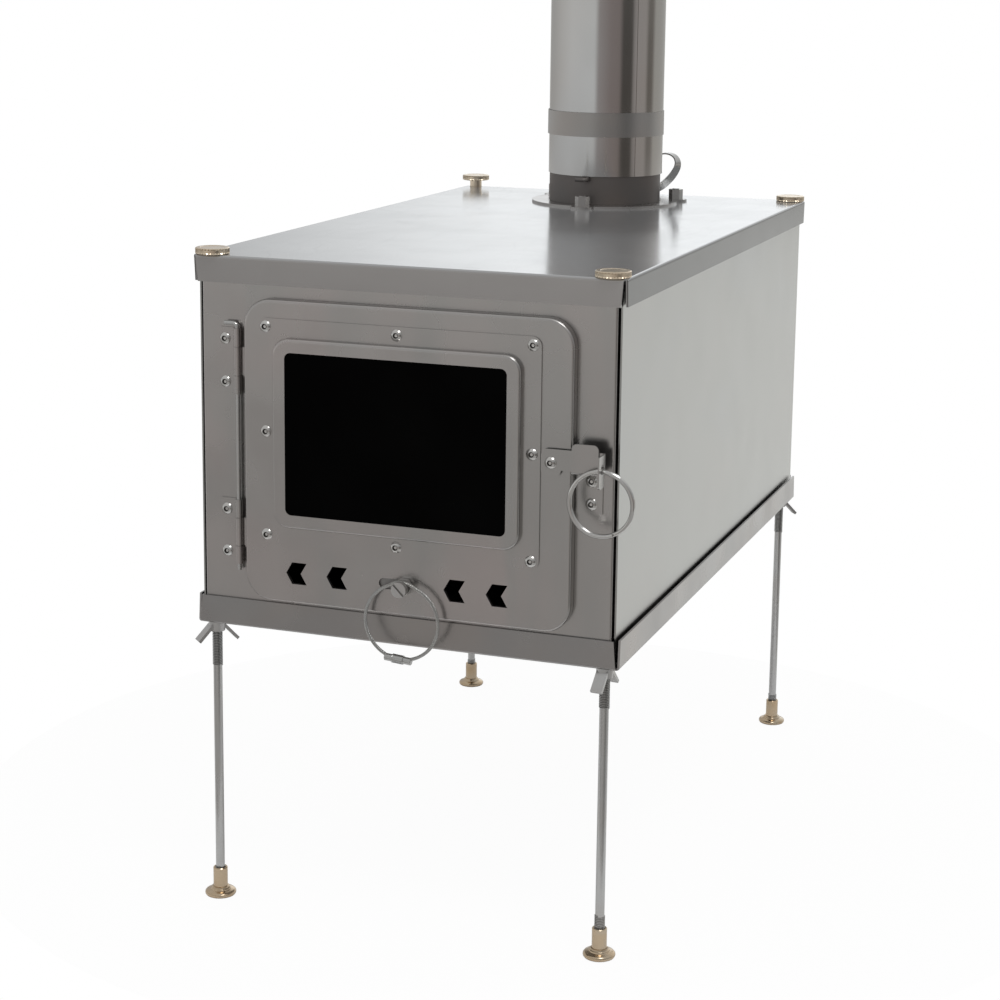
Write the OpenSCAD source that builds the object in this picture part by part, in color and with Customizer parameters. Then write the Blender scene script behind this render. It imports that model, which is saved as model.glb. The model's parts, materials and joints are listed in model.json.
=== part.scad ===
// Tent wood stove: a flat-pack sheet-metal firebox on four threaded rods.
// Tray, four panels and lid are clamped between wing nuts below and thumb nuts above.
// The front holds a glazed door with a chevron air slide and a drop latch.
// Origin: on the floor, midway between the four feet. X right, Y to the back, Z up.

/* [Body] */
// Width of the tray and lid
body_w = 210; // [205:1:260]
// Depth of the tray and lid, front to back
body_d = 362; // [290:1:450]
// Height from the underside of the tray to the top of the lid
body_h = 177; // [172:0.5:215]
// Sheet thickness of the tray and lid
sheet_t = 1; // [0.8:0.1:1.5]
// Sheet thickness of the four panels
panel_t = 0.8; // [0.6:0.1:1]
// Depth of the lid's turned-down rim
lid_drop = 12.6; // [9:0.2:16]
// Height of the tray's turned-up rim
tray_rise = 13.6; // [10:0.2:15]
// Gap between a rim and the front or rear panel inside it
end_gap = 0.3; // [0.2:0.05:0.6]
// Gap between a rim and a side panel inside it
side_gap = 1.3; // [1:0.1:1.6]
// Depth of the flange folded back along each upright edge of the end panels
panel_return = 8; // [6:0.5:9]

/* [Legs] */
// Height of the tray above the floor
leg_h = 139.5; // [100:0.5:200]
// Diameter of the leg rods
rod_d = 5; // [4:0.5:5]
// Inset of a rod's centre from the side of the lid
rod_in_x = 7.8; // [7.5:0.1:9]
// Inset of a rod's centre from the front or back of the lid
rod_in_y = 5.1; // [4.9:0.1:7]
// Diameter of a foot's disc
foot_d = 15.2; // [12:0.2:24]
// Thickness of a foot's disc
foot_t = 2.2; // [1.5:0.1:4]
// Diameter of the sleeves on the feet and thumb nuts
sleeve_d = 7; // [6.6:0.1:8]
// Height of a foot's sleeve above its disc
sleeve_h = 12; // [7:0.5:14]
// Diameter of a thumb nut's knurled head
thumb_d = 16; // [12:0.5:18]
// Thickness of a thumb nut's head
thumb_t = 3; // [2:0.1:5]
// Span across a wing nut's two wings
wing_span = 20.6; // [17:0.2:26]
// Height of a wing nut
wing_h = 10; // [8:0.2:13]
// How far the rear left thumb nut stands up, not screwed down
loose_lift = 4.2; // [0:0.1:6]

/* [Door] */
// Width of the door
door_w = 160.3; // [140:0.1:161]
// Height of the door
door_h = 143; // [130:0.5:146]
// Depth of the door's pan, from its back edge to its face
door_depth = 5; // [4.4:0.1:6]
// Corner radius of the door
door_corner = 13; // [9:0.5:20]
// Height of the door's lower edge above the tray's underside
door_z = 15.6; // [15.2:0.1:18]
// Outside bend radius of the pressed edges on the door and window frame
press_bend = 1.4; // [1.2:0.1:2]
// Sheet thickness of the door and window frame
door_t = 0.8; // [0.6:0.1:1]
// Gap between the closed door and the front panel
door_gap = 0.3; // [0.2:0.05:0.6]
// Overlap of the door's edge over the opening in the front panel
door_lap = 6; // [4:0.5:7]

/* [Window] */
// Width between the outer window screws
screw_w = 130; // [110:0.5:131]
// Height between the outer window screws
screw_h = 98.2; // [82:0.2:100]
// Inset of the window's right-hand screws from the door's right edge
window_in = 18.7; // [18:0.1:20]
// Height of the lowest window screws above the door's lower edge
window_up = 32.4; // [31:0.1:34]
// Margin of the window frame's plate outside the screws
frame_margin = 3.9; // [3.5:0.1:4]
// Inset of the raised border from the screws
border_in = 4.6; // [4.2:0.1:6]
// Inset of the window opening from the screws
opening_in = 11; // [9:0.1:14]
// Thickness of the glass
glass_t = 3; // [2:0.1:4]
// Thickness of the gasket behind the glass
gasket_t = 0.4; // [0.3:0.1:1]

/* [Air slide] */
// Width and height of each chevron hole
chevron = 10.4; // [8:0.1:10.6]
// How far a chevron's point stands ahead of its arms
chevron_point = 3; // [2:0.1:4]
// Pitch of two neighbouring chevrons
chevron_pitch = 20.5; // [20:0.1:21]
// Distance between the middles of the left and right pairs
chevron_pairs = 78.7; // [70:0.1:82]
// Height of the air holes above the door's lower edge
air_up = 14.6; // [13.5:0.1:15]
// Height of the slot for the slide's screw
slot_h = 5.1; // [4.6:0.1:6]
// Travel of the air slide
slide_travel = 10.4; // [9:0.1:11]
// Outer diameter of the cable loop
loop_d = 37; // [28:0.5:40]
// Diameter of the cable
cable_d = 1.7; // [1.2:0.1:2]

/* [Hinge and latch] */
// Distance of the hinge pin from the front panel's left edge
pin_in = 19; // [18:0.1:20]
// Distance of the hinge pin in front of the front panel
pin_out = 2.3; // [2.2:0.05:2.4]
// Diameter of the hinge pin
pin_d = 2; // [1.6:0.1:2.2]
// Length of each hinge
hinge_l = 31; // [26:0.5:34]
// Height of the lower hinge's middle above the door's lower edge
hinge_low = 31.2; // [28:0.1:40]
// Distance between the middles of the two hinges
hinge_pitch = 81.4; // [70:0.1:84]
// Inset of the latch pivot from the door's right edge
latch_in = 9.6; // [9.2:0.1:11]
// Height of the latch pivot above the door's lower edge
latch_up = 78.7; // [70:0.1:82]
// Height of the latch arm
arm_h = 9.4; // [8:0.1:10]
// Outer diameter of the split ring
ring_d = 31; // [24:0.5:34]

/* [Flue] */
// Outer diameter of the flue collar
collar_d = 63.2; // [56:0.2:66]
// Wall thickness of the collar
collar_t = 0.7; // [0.5:0.1:1]
// Height of the collar above the lid
collar_h = 38; // [30:1:60]
// Distance of the flue's axis from the back of the lid
flue_in = 55; // [52:1:80]
// Radial clearance of the pipe on the collar
pipe_fit = 0.1; // [0.05:0.01:0.1]
// Wall thickness of the pipe
pipe_t = 0.5; // [0.3:0.1:0.8]
// Length of the pipe section
pipe_l = 170; // [120:1:400]
// Height of the damper's axis above the lid
damper_up = 15.4; // [13:0.1:20]
// Width of the band round the pipe
band_w = 13.5; // [8:0.5:20]

/* [Hidden] */
$fn = 48;
eps = 0.01;

steel = [0.53, 0.52, 0.51];
bright_steel = [0.78, 0.78, 0.77];
dark_steel = [0.32, 0.3, 0.29];
brass = [0.74, 0.66, 0.49];

// Clearances shared by what turns, slides or passes through
run_fit = 0.06;   // radial, a nut, foot or knuckle turning on its pin
slip = 0.3;       // between parts that pass each other
hole_fit = 0.3;   // radial, a fastener through a sheet
joint_lap = 0.02; // a straight is this much fuller than the bend it runs into

// Corner signs, in the order front left, front right, rear left, rear right
corner_x = [-1, 1, -1, 1];
corner_y = [-1, -1, 1, 1];
rod_x = body_w / 2 - rod_in_x;
rod_y = body_d / 2 - rod_in_y;

tray_floor = leg_h + sheet_t;
rim_bend = sheet_t + end_gap;
lid_top = leg_h + body_h;
lid_under = lid_top - sheet_t;
panel_h = lid_under - tray_floor;

// Rod ends: inside the foot at the bottom, inside the thumb nut at the top
rod_foot_gap = 0.8;
rod_bottom = foot_t + rod_foot_gap;
rod_top = lid_top + thumb_t / 2;
sleeve_bore_end = thumb_t - 1;
thumb_sleeve = 11.5;

// Panels
front_y = -(body_d / 2 - sheet_t - end_gap);
side_x = body_w / 2 - sheet_t - side_gap;
side_to_return = 1;
panel_hw = side_x - panel_t - side_to_return;
side_hd = -front_y - 1.5;

// V-shaped slits at the rim corners
slit_root = sheet_t + 0.15;
slit_edge = sheet_t + 1.6;

// M3 button-head screws and nuts
m3_r = 1.5;
m3_head_r = 2.75;
m3_head_h = 1.65;
m3_head_land = 0.3;
m3_nut_af = 5.5;
m3_nut_h = 2.4;
m3_socket_af = 2;
m3_socket_depth = 1;
m3_tip = 0.6;

// M4 screw of the air slide
m4_r = 2;
m4_head_r = 3.6;
m4_head_h = 3;
m4_nut_af = 7;
m4_nut_h = 3.2;

// Door
pin_x = -panel_hw + pin_in;
pin_y = front_y - pin_out;
knuckle_wall = 0.64;
knuckle_bore = pin_d / 2 + run_fit;
knuckle_r = knuckle_bore + knuckle_wall;
pin_to_door = 4.6;
door_left = pin_x + pin_to_door;
door_right = door_left + door_w;
door_cx = (door_left + door_right) / 2;
door_cz = door_z + door_h / 2;
door_back_y = front_y - door_gap;
door_face_y = door_back_y - door_depth;
door_inside_y = door_face_y + door_t;

// Window
win_right = door_right - window_in;
win_cx = win_right - screw_w / 2;
win_cz = door_z + window_up + screw_h / 2;
frame_w = screw_w + 2 * frame_margin;
frame_h = screw_h + 2 * frame_margin;
frame_corner = 4.5;
border_w = screw_w - 2 * border_in;
border_h = screw_h - 2 * border_in;
border_corner = 8;
border_rise = gasket_t + glass_t + door_t;
opening_w = screw_w - 2 * opening_in;
opening_h = screw_h - 2 * opening_in;
opening_corner = 3;
glass_play = press_bend - door_t + 0.1;
glass_w = border_w - 2 * door_t - 2 * glass_play;
glass_h = border_h - 2 * door_t - 2 * glass_play;
glass_corner = border_corner - door_t;
hole_margin = 1.2;
frame_face_y = door_face_y - door_t;
screw_cols = [-1, 0, 1];

// Air slide
air_cx = win_cx - 0.8;
air_cz = door_z + air_up;
slot_len = slide_travel + 2 * m4_r + 2 * hole_fit + 0.8;
knob_x = air_cx + slide_travel / 2;
slider_y = door_inside_y + slip;
slider_t = 0.8;
slider_h = chevron + 4;
slider_w = chevron_pairs + chevron_pitch + chevron + 10;
knob_nut_front_y = door_face_y - slip - m4_nut_h;
cable_y = knob_nut_front_y - slip - cable_d / 2;
knob_head_y = cable_y - cable_d / 2 - slip;
loop_r = (loop_d - cable_d) / 2;
loop_drop = loop_r - m4_r - run_fit - cable_d / 2;
barrel_l = 13.2;
barrel_d = 3.5;
barrel_turn = -5;

// Latch
latch_x = door_right - latch_in;
latch_z = door_z + latch_up;
lever_t = 0.8;
spacer_t = 1.1;
spacer_r = 3.4;
lever_y = door_face_y - spacer_t;
lever_face_y = lever_y - lever_t;
tab_left = 4.5;
tab_right = 4.8;
tab_up = 6.2;
tab_down = 6.2;
tab_corner = 3;
keeper_t = 0.8;
keeper_w = 12.4;
keeper_left = door_right + 0.4;
keeper_right = keeper_left + keeper_w;
keeper_cx = keeper_left + keeper_w / 2;
arm_top = latch_z + tab_up;
arm_bottom = arm_top - arm_h;
web_top = arm_bottom - slip;
lip_y = lever_face_y - slip - keeper_t;
lip_top = arm_top + 3.4;
lip_bend = keeper_t + slip;
base_bottom = web_top - 20;
keeper_screw_z = [web_top - 4.8, web_top - 15.2];
keeper_screw_x = keeper_cx + 1.1;
lug_x = keeper_right + 2.6;
lug_depth = 10;
lug_drop = 5.2;
lug_hole_r = 2.3;
lug_hole_y = lever_y - lug_depth / 2 - 0.3;
lug_hole_z = arm_top - 6.2;
ring_wire_w = 1.9;
ring_wire_t = 2.2;
ring_r = (ring_d - ring_wire_w) / 2;
ring_hang = 0.95;

// Hinges
leaf_t = 0.8;
leaf_w = 10.4;
leaf_gap = 0.25;
leaf_end = 8.6;
hinge_z = [door_z + hinge_low + hinge_pitch, door_z + hinge_low];
leaf_screw_x = pin_x - 6.9;
leaf_screw_dz = 10.2;
pin_under = 3;
pin_arm = 6.4;
pin_bend = 2.4;

// Opening in the front panel
mouth_left = door_left + door_lap + door_t;
mouth_right = door_right - door_lap - door_t;
mouth_bottom = door_z + 5.2;
mouth_top = door_z + door_h - door_lap - door_t;
mouth_corner = 9;

// Grate
grate_h = 34;
grate_t = 1;
grate_w = 2 * rod_x - rod_d - 12;
grate_d = 2 * rod_y - rod_d - 40;
grate_slot_w = 5;
grate_slot_l = 40;
grate_pitch_x = 16;
grate_pitch_y = 52;

// Flue
flue_y = body_d / 2 - flue_in;
collar_r = collar_d / 2;
foot_ring = 4;
flange_t = 1.2;
flange_r = collar_r + 9.9;
flange_foot_h = collar_t;
ear_r = 6.4;
ear_pcd = flange_r + 0.6;
flue_nut_af = 7;
flue_nut_h = 5.6;
flue_bolt_r = 2;
flue_bolt_head = 2.2;
ear_angles = [-90, 30, 150];
damper_z = lid_top + damper_up;
shaft_r = 1.25;
plate_t = 0.8;
plate_slip = 0.5;
pipe_r = collar_r + pipe_fit;
seat_ease = 0.1;
bore_r = pipe_r - seat_ease;
pipe_outer = pipe_r + pipe_t;
pipe_z = damper_z + shaft_r + slip;
seat_l = lid_top + collar_h + 0.2 - pipe_z;
seat_taper = 1;
lap_t = 0.3;
lap_start = -42;
lap_angle = 64;
band_t = 0.35;
band_fit = 0.1;
band_r = pipe_outer + lap_t + band_fit;
band_up = 22;
hook_bend = 1.8;
hook_reach = 6;
strip_t = 0.8;
strip_w = 5;
handle_y = flue_y + band_r + band_t + 0.8;
handle_reach = 23;
handle_loop = 11.6;
handle_eye = shaft_r + strip_t;

// ---------- shared shapes ----------

// Carries a drawing in X and Z onto the front, growing outwards from the plane at y
module on_front(y) {
    translate([0, y, leg_h]) rotate([90, 0, 0]) children();
}

// Rounded rectangle about its middle
module round_rect(w, h, r) {
    square([w - 2 * r, h], center = true);
    square([w, h - 2 * r], center = true);
    for (x = [-1, 1], y = [-1, 1])
        translate([x * (w / 2 - r), y * (h / 2 - r)]) circle(r);
}

// Section of a bent edge: outer corner at the origin, sheet running to +X and -Y
module bend_section(r, t, leg) {
    translate([r, -r]) intersection() {
        difference() {
            circle(r);
            circle(r - t);
        }
        translate([-r, 0]) square(r);
    }
    translate([0, -leg]) square([t, leg - r]);
}

// Pressed pan: flat face with a rounded edge and a skirt, face at the top of its depth
module pressed_pan(w, h, corner, r, t, depth) {
    translate([0, 0, depth - t]) linear_extrude(t) round_rect(w - 2 * r, h - 2 * r, corner - r);
    for (k = [0:3]) {
        across = (k % 2 == 0) ? w : h;
        along = (k % 2 == 0) ? h : w;
        rotate([0, 0, 90 * k]) {
            translate([-across / 2, along / 2 - corner, depth]) rotate([90, 0, 0])
                linear_extrude(along - 2 * corner) bend_section(r, t, depth);
            translate([across / 2 - corner, along / 2 - corner, depth])
                rotate_extrude(angle = 90) translate([corner, 0]) mirror([1, 0, 0])
                    bend_section(r, t, depth);
        }
    }
}

// Button-head screw with a hexagon socket: head towards +Z, bearing face at z = 0
module button_screw(length) {
    dome_h = m3_head_h - m3_head_land;
    dome_r = (m3_head_r * m3_head_r + dome_h * dome_h) / (2 * dome_h);
    difference() {
        union() {
            intersection() {
                translate([0, 0, m3_head_h - dome_r]) sphere(dome_r);
                cylinder(h = m3_head_h, r = m3_head_r);
            }
            translate([0, 0, -length]) cylinder(h = length + eps, r = m3_r);
        }
        translate([0, 0, m3_head_h - m3_socket_depth])
            cylinder(h = m3_socket_depth + 1, d = m3_socket_af / cos(30), $fn = 6);
    }
}

// Hexagon nut standing on z = 0
module hex_nut(af, h, bore) {
    difference() {
        cylinder(h = h, d = af / cos(30), $fn = 6);
        translate([0, 0, -1]) cylinder(h = h + 2, r = bore);
    }
}

// ---------- tray, lid and panels ----------

// Tray or lid: a sheet with four rims turned the same way, open at the corners
module rimmed_sheet(depth) {
    translate([0, 0, -sheet_t / 2])
        cube([body_w - 2 * rim_bend, body_d - 2 * rim_bend, sheet_t], center = true);
    for (k = [0:3]) {
        across = (k % 2 == 0) ? body_w : body_d;
        along = (k % 2 == 0) ? body_d : body_w;
        rotate([0, 0, 90 * k]) intersection() {
            translate([-across / 2, along / 2, 0]) rotate([90, 0, 0])
                linear_extrude(along) bend_section(rim_bend, sheet_t, depth);
            translate([-across / 2 - 1, 0, 0]) rotate([90, 0, 90]) linear_extrude(rim_bend + 2)
                polygon([
                    [-along / 2 + rim_bend, eps], [along / 2 - rim_bend, eps],
                    [along / 2 - slit_root - 0.5, -rim_bend], [along / 2 - slit_edge, -depth - eps],
                    [-along / 2 + slit_edge, -depth - eps], [-along / 2 + slit_root + 0.5, -rim_bend]
                ]);
        }
    }
}

module bottom_tray() {
    color(steel) difference() {
        translate([0, 0, leg_h]) mirror([0, 0, 1]) rimmed_sheet(tray_rise);
        for (k = [0:3])
            translate([corner_x[k] * rod_x, corner_y[k] * rod_y, leg_h - 1])
                cylinder(h = sheet_t + 2, r = rod_d / 2 + hole_fit);
    }
}

module lid_plate() {
    color(bright_steel) difference() {
        translate([0, 0, lid_top]) rimmed_sheet(lid_drop);
        for (k = [0:3])
            translate([corner_x[k] * rod_x, corner_y[k] * rod_y, lid_under - 1])
                cylinder(h = sheet_t + 2, r = sleeve_d / 2 + hole_fit);
        translate([0, flue_y, lid_under - 1]) cylinder(h = sheet_t + 2, r = collar_r + hole_fit);
        at_ears(lid_under - 1) cylinder(h = sheet_t + 2, r = flue_bolt_r + hole_fit);
    }
}

// End panel seen from outside, with a flange folded back along each upright edge,
// notched at the top for the thumb nuts' sleeves
module end_panel() {
    difference() {
        folded_panel();
        for (side = [-1, 1])
            translate([side * rod_x, -panel_t - front_y - rod_y, lid_top - thumb_sleeve - slip])
                cylinder(h = thumb_sleeve + 1, r = sleeve_d / 2 + slip);
    }
}

module folded_panel() {
    bend = panel_t + 0.4;
    translate([-panel_hw + bend, -panel_t, tray_floor])
        cube([2 * (panel_hw - bend), panel_t, panel_h]);
    for (side = [-1, 1])
        translate([side * panel_hw, -panel_t, tray_floor]) mirror([side > 0 ? 1 : 0, 0, 0])
            mirror([0, 1, 0]) linear_extrude(panel_h) bend_section(bend, panel_t, panel_return);
}

module front_panel() {
    color(steel) difference() {
        translate([0, front_y + panel_t, 0]) end_panel();
        on_front(front_y + panel_t + 1)
            translate([(mouth_left + mouth_right) / 2, (mouth_bottom + mouth_top) / 2])
                linear_extrude(panel_t + 2)
                    round_rect(mouth_right - mouth_left, mouth_top - mouth_bottom, mouth_corner);
        on_front(front_y + panel_t + 1) {
            for (z = hinge_z, s = [-1, 1])
                translate([leaf_screw_x, z + s * leaf_screw_dz])
                    cylinder(h = panel_t + 2, r = m3_r + hole_fit);
            for (z = keeper_screw_z)
                translate([keeper_screw_x, z]) cylinder(h = panel_t + 2, r = m3_r + hole_fit);
        }
    }
}

module rear_panel() {
    color(steel) mirror([0, 1, 0]) translate([0, front_y + panel_t, 0]) end_panel();
}

module side_panel(side) {
    color(steel) translate([side > 0 ? side_x - panel_t : -side_x, -side_hd, tray_floor])
        cube([panel_t, 2 * side_hd, panel_h]);
}

module fire_grate() {
    cols = floor((grate_w / 2 - 8) / grate_pitch_x);
    rows = floor((grate_d / 2 - grate_slot_l / 2 - 6) / grate_pitch_y);
    color(dark_steel) translate([0, 0, tray_floor]) difference() {
        union() {
            translate([-grate_w / 2 + 2, -grate_d / 2, grate_h - grate_t])
                cube([grate_w - 4, grate_d, grate_t]);
            for (side = [0, 1])
                mirror([side, 0, 0]) translate([-grate_w / 2, grate_d / 2, grate_h])
                    rotate([90, 0, 0]) linear_extrude(grate_d)
                        bend_section(2, grate_t, grate_h);
        }
        for (x = [-cols:cols], y = [-rows:rows])
            translate([x * grate_pitch_x, y * grate_pitch_y, grate_h - 5]) linear_extrude(10)
                round_rect(grate_slot_w, grate_slot_l, grate_slot_w / 2 - eps);
        for (side = [-1, 1], y = [-rows:rows])
            translate([side * grate_w / 2, y * grate_pitch_y, grate_h * 0.45])
                rotate([0, 90, 0]) cylinder(h = 10, r = 7, center = true);
    }
}

// ---------- legs ----------

module leg_rod(k) {
    color(bright_steel) translate([corner_x[k] * rod_x, corner_y[k] * rod_y, rod_bottom])
        cylinder(h = rod_top - rod_bottom, d = rod_d);
}

// Foot: a disc on the floor and a sleeve with a low shoulder, screwed up the rod
module foot(k) {
    chamfer = 0.7;
    shoulder_r = sleeve_d / 2 + 0.7;
    shoulder_z = foot_t + 0.8;
    color(brass) translate([corner_x[k] * rod_x, corner_y[k] * rod_y, 0]) difference() {
        rotate_extrude() polygon([
            [0, 0], [foot_d / 2 - chamfer, 0], [foot_d / 2, chamfer], [foot_d / 2, foot_t - chamfer],
            [foot_d / 2 - chamfer, foot_t], [shoulder_r, foot_t],
            [shoulder_r, shoulder_z], [sleeve_d / 2, shoulder_z],
            [sleeve_d / 2, foot_t + sleeve_h - chamfer], [sleeve_d / 2 - chamfer, foot_t + sleeve_h],
            [0, foot_t + sleeve_h]
        ]);
        translate([0, 0, foot_t]) cylinder(h = sleeve_h + 1, r = rod_d / 2 + run_fit);
    }
}

// Pressed wing nut, clamping face up: two straight blades bent out and down from the hub
module wing_nut(k, turn) {
    hub_r = 4.1;
    hub_h = 4.8;
    blade_t = 1.5;
    blade_w = 5.6;
    root_x = 2.4;
    root_z = -0.4;
    reach = wing_span / 2 - root_x;
    drop = wing_h - blade_t;
    color(bright_steel) translate([corner_x[k] * rod_x, corner_y[k] * rod_y, leg_h]) difference() {
        union() {
            translate([0, 0, -hub_h]) cylinder(h = hub_h, r1 = hub_r - 0.4, r2 = hub_r);
            rotate([0, 0, turn]) for (side = [0, 1])
                mirror([side, 0, 0]) translate([root_x, blade_w / 2, root_z]) rotate([90, 0, 0])
                    linear_extrude(blade_w) rotate(-atan(drop / reach)) translate([0, -blade_t])
                        square([norm([reach, drop]), blade_t]);
        }
        translate([0, 0, -hub_h - 1]) cylinder(h = hub_h + 2, r = rod_d / 2 + run_fit);
    }
}

module thumb_nut(k, lift) {
    chamfer = 0.4;
    color(brass) translate([corner_x[k] * rod_x, corner_y[k] * rod_y, lid_top + lift]) difference() {
        rotate_extrude() polygon([
            [0, -thumb_sleeve], [sleeve_d / 2 - chamfer, -thumb_sleeve],
            [sleeve_d / 2, chamfer - thumb_sleeve], [sleeve_d / 2, 0], [thumb_d / 2 - chamfer, 0],
            [thumb_d / 2, chamfer], [thumb_d / 2, thumb_t - chamfer],
            [thumb_d / 2 - chamfer, thumb_t], [0, thumb_t]
        ]);
        translate([0, 0, -thumb_sleeve - 1])
            cylinder(h = thumb_sleeve + 1 + sleeve_bore_end, r = rod_d / 2 + run_fit);
    }
}

// ---------- flue ----------

module at_ears(z) {
    for (a = ear_angles)
        translate([ear_pcd * cos(a), flue_y + ear_pcd * sin(a), z]) children();
}

module flue_flange() {
    color(steel) difference() {
        union() {
            translate([0, flue_y, lid_top]) cylinder(h = flange_t, r = flange_r, $fn = 96);
            at_ears(lid_top) cylinder(h = flange_t, r = ear_r);
        }
        translate([0, flue_y, lid_top - 1]) cylinder(h = flange_t + 2, r = collar_r + slip, $fn = 96);
        translate([0, flue_y, lid_top - 1])
            cylinder(h = 1 + flange_foot_h, r = collar_r + foot_ring + slip, $fn = 96);
        at_ears(lid_top - 1) cylinder(h = flange_t + 2, r = flue_bolt_r + hole_fit);
    }
}

module flue_collar() {
    color(dark_steel) difference() {
        translate([0, flue_y, lid_top]) union() {
            cylinder(h = collar_h, r = collar_r, $fn = 96);
            cylinder(h = collar_t - eps, r = collar_r + foot_ring, $fn = 96);
        }
        translate([0, flue_y, lid_top - 1])
            cylinder(h = collar_h + 2, r = collar_r - collar_t, $fn = 96);
        translate([0, flue_y, damper_z]) rotate([90, 0, 0])
            cylinder(h = 3 * collar_r, r = shaft_r + run_fit, center = true);
    }
}

module flue_flange_bolts() {
    reach = flue_bolt_head + sheet_t + flange_t + flue_nut_h + 0.4;
    color(steel) at_ears(lid_under - flue_bolt_head) {
        cylinder(h = flue_bolt_head, d = flue_nut_af / cos(30), $fn = 6);
        cylinder(h = reach, r = flue_bolt_r);
    }
}

module flue_flange_nuts() {
    color(steel) at_ears(lid_top + flange_t)
        rotate([0, 0, 15]) hex_nut(flue_nut_af, flue_nut_h, flue_bolt_r + 0.02);
}

// Rolled pipe, its lower end opened out a little where it sits over the collar,
// with the lapped seam standing proud at the front right
module flue_pipe() {
    color(steel) translate([0, flue_y, pipe_z]) difference() {
        union() {
            cylinder(h = pipe_l, r = pipe_outer, $fn = 96);
            rotate([0, 0, lap_start]) rotate_extrude(angle = lap_angle, $fn = 96)
                translate([pipe_outer - 0.2, 0]) square([lap_t + 0.2, pipe_l]);
        }
        rotate_extrude($fn = 96) polygon([
            [0, -1], [pipe_r, -1], [pipe_r, seat_l], [bore_r, seat_l + seat_taper],
            [bore_r, pipe_l + 1], [0, pipe_l + 1]
        ]);
    }
}

module flue_band() {
    color(steel) translate([0, flue_y, pipe_z + band_up]) difference() {
        cylinder(h = band_w, r = band_r + band_t, $fn = 96);
        translate([0, 0, -1]) cylinder(h = band_w + 2, r = band_r, $fn = 96);
    }
}

// Two half discs spot-welded as one, with a rolled seat for the shaft
module damper_plate() {
    r = collar_r - collar_t - plate_slip;
    seat = shaft_r + 0.7;
    color(dark_steel) translate([0, flue_y, damper_z]) difference() {
        union() {
            translate([0, 0, -plate_t / 2]) cylinder(h = plate_t, r = r, $fn = 96);
            rotate([90, 0, 0]) cylinder(h = 1.5 * r, r = seat, center = true);
        }
        rotate([90, 0, 0]) cylinder(h = 3 * r, r = shaft_r + 0.01, center = true);
    }
}

// Round bar, its front end bent to the left
module damper_shaft() {
    front = flue_y - collar_r - 3;
    back = handle_y + strip_w;
    color(dark_steel) translate([0, 0, damper_z]) {
        translate([0, back, 0]) rotate([90, 0, 0]) cylinder(h = back - front, r = shaft_r);
        translate([-hook_bend, front, 0]) rotate([0, 0, -90]) rotate_extrude(angle = 90)
            translate([hook_bend, 0]) circle(shaft_r);
        translate([-hook_reach, front - hook_bend, 0]) rotate([0, 90, 0])
            cylinder(h = hook_reach - hook_bend, r = shaft_r);
    }
}

// Strip bent into a loop, both ends wrapped round the shaft
module damper_handle() {
    lean = asin((handle_loop - handle_eye) / handle_reach);
    color(steel) translate([0, handle_y + strip_w, damper_z]) rotate([90, 0, 0]) difference() {
        union() {
            cylinder(h = strip_w, r = handle_eye);
            translate([handle_reach, 0, 0]) rotate([0, 0, -90 - lean])
                rotate_extrude(angle = 180 + 2 * lean) translate([handle_loop - strip_t, 0])
                    square([strip_t, strip_w]);
            for (s = [0, 1]) mirror([0, s, 0]) rotate([0, 0, lean])
                translate([0, handle_eye - strip_t - joint_lap, 0])
                    cube([handle_reach * cos(lean) + 0.3, strip_t + 2 * joint_lap, strip_w]);
        }
        translate([0, 0, -1]) cylinder(h = strip_w + 2, r = shaft_r + 0.01);
    }
}

// ---------- hinges ----------

// Leaf on the front panel, rolled round the pin at both ends
module hinge_leaf(z) {
    color(steel) difference() {
        union() {
            on_front(front_y) translate([pin_x - knuckle_r - leaf_w / 2 + 0.6, z])
                linear_extrude(leaf_t) round_rect(leaf_w, hinge_l, 2);
            for (s = [-1, 1])
                translate([pin_x, pin_y, leg_h + z + s * (hinge_l - leaf_end) / 2]) {
                    cylinder(h = leaf_end, r = knuckle_r, center = true);
                    translate([-knuckle_r, 0, -leaf_end / 2])
                        cube([knuckle_r, pin_out, leaf_end]);
                }
        }
        translate([pin_x, pin_y, leg_h + z]) cylinder(h = hinge_l + 2, r = knuckle_bore, center = true);
        translate([pin_x - knuckle_r - slip, pin_y - knuckle_r - 1, leg_h + z - hinge_l / 2 + leaf_end])
            cube([2 * knuckle_r + 1, pin_out + knuckle_r + 2, hinge_l - 2 * leaf_end]);
        on_front(front_y + 1) for (s = [-1, 1])
            translate([leaf_screw_x, z + s * leaf_screw_dz]) cylinder(h = 5, r = m3_r + hole_fit);
    }
}

// Knuckle strap on the door, between the two ends of the leaf
module door_knuckle(z) {
    length = hinge_l - 2 * leaf_end - 2 * leaf_gap;
    back_y = pin_y + knuckle_r;
    color(steel) translate([0, 0, leg_h + z - length / 2]) difference() {
        union() {
            translate([pin_x, pin_y, 0]) cylinder(h = length, r = knuckle_r);
            translate([pin_x, back_y - knuckle_wall, 0])
                cube([pin_to_door, knuckle_wall, length]);
            translate([door_left - knuckle_wall, door_face_y + press_bend, 0])
                cube([knuckle_wall, back_y - door_face_y - press_bend, length]);
        }
        translate([pin_x, pin_y, -1]) cylinder(h = length + 2, r = knuckle_bore);
    }
}

module hinge_pin() {
    top = leg_h + hinge_z[0] + hinge_l / 2 + pin_bend;
    bottom = leg_h + hinge_z[1] - hinge_l / 2 - pin_under;
    color(bright_steel) translate([pin_x, pin_y, 0]) {
        translate([0, 0, bottom]) cylinder(h = top - pin_bend - bottom, d = pin_d);
        translate([-pin_bend, 0, top - pin_bend]) rotate([90, 0, 0])
            rotate_extrude(angle = 90) translate([pin_bend, 0]) circle(pin_d / 2);
        translate([-pin_arm, 0, top]) rotate([0, 90, 0]) cylinder(h = pin_arm - pin_bend, d = pin_d);
    }
}

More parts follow.
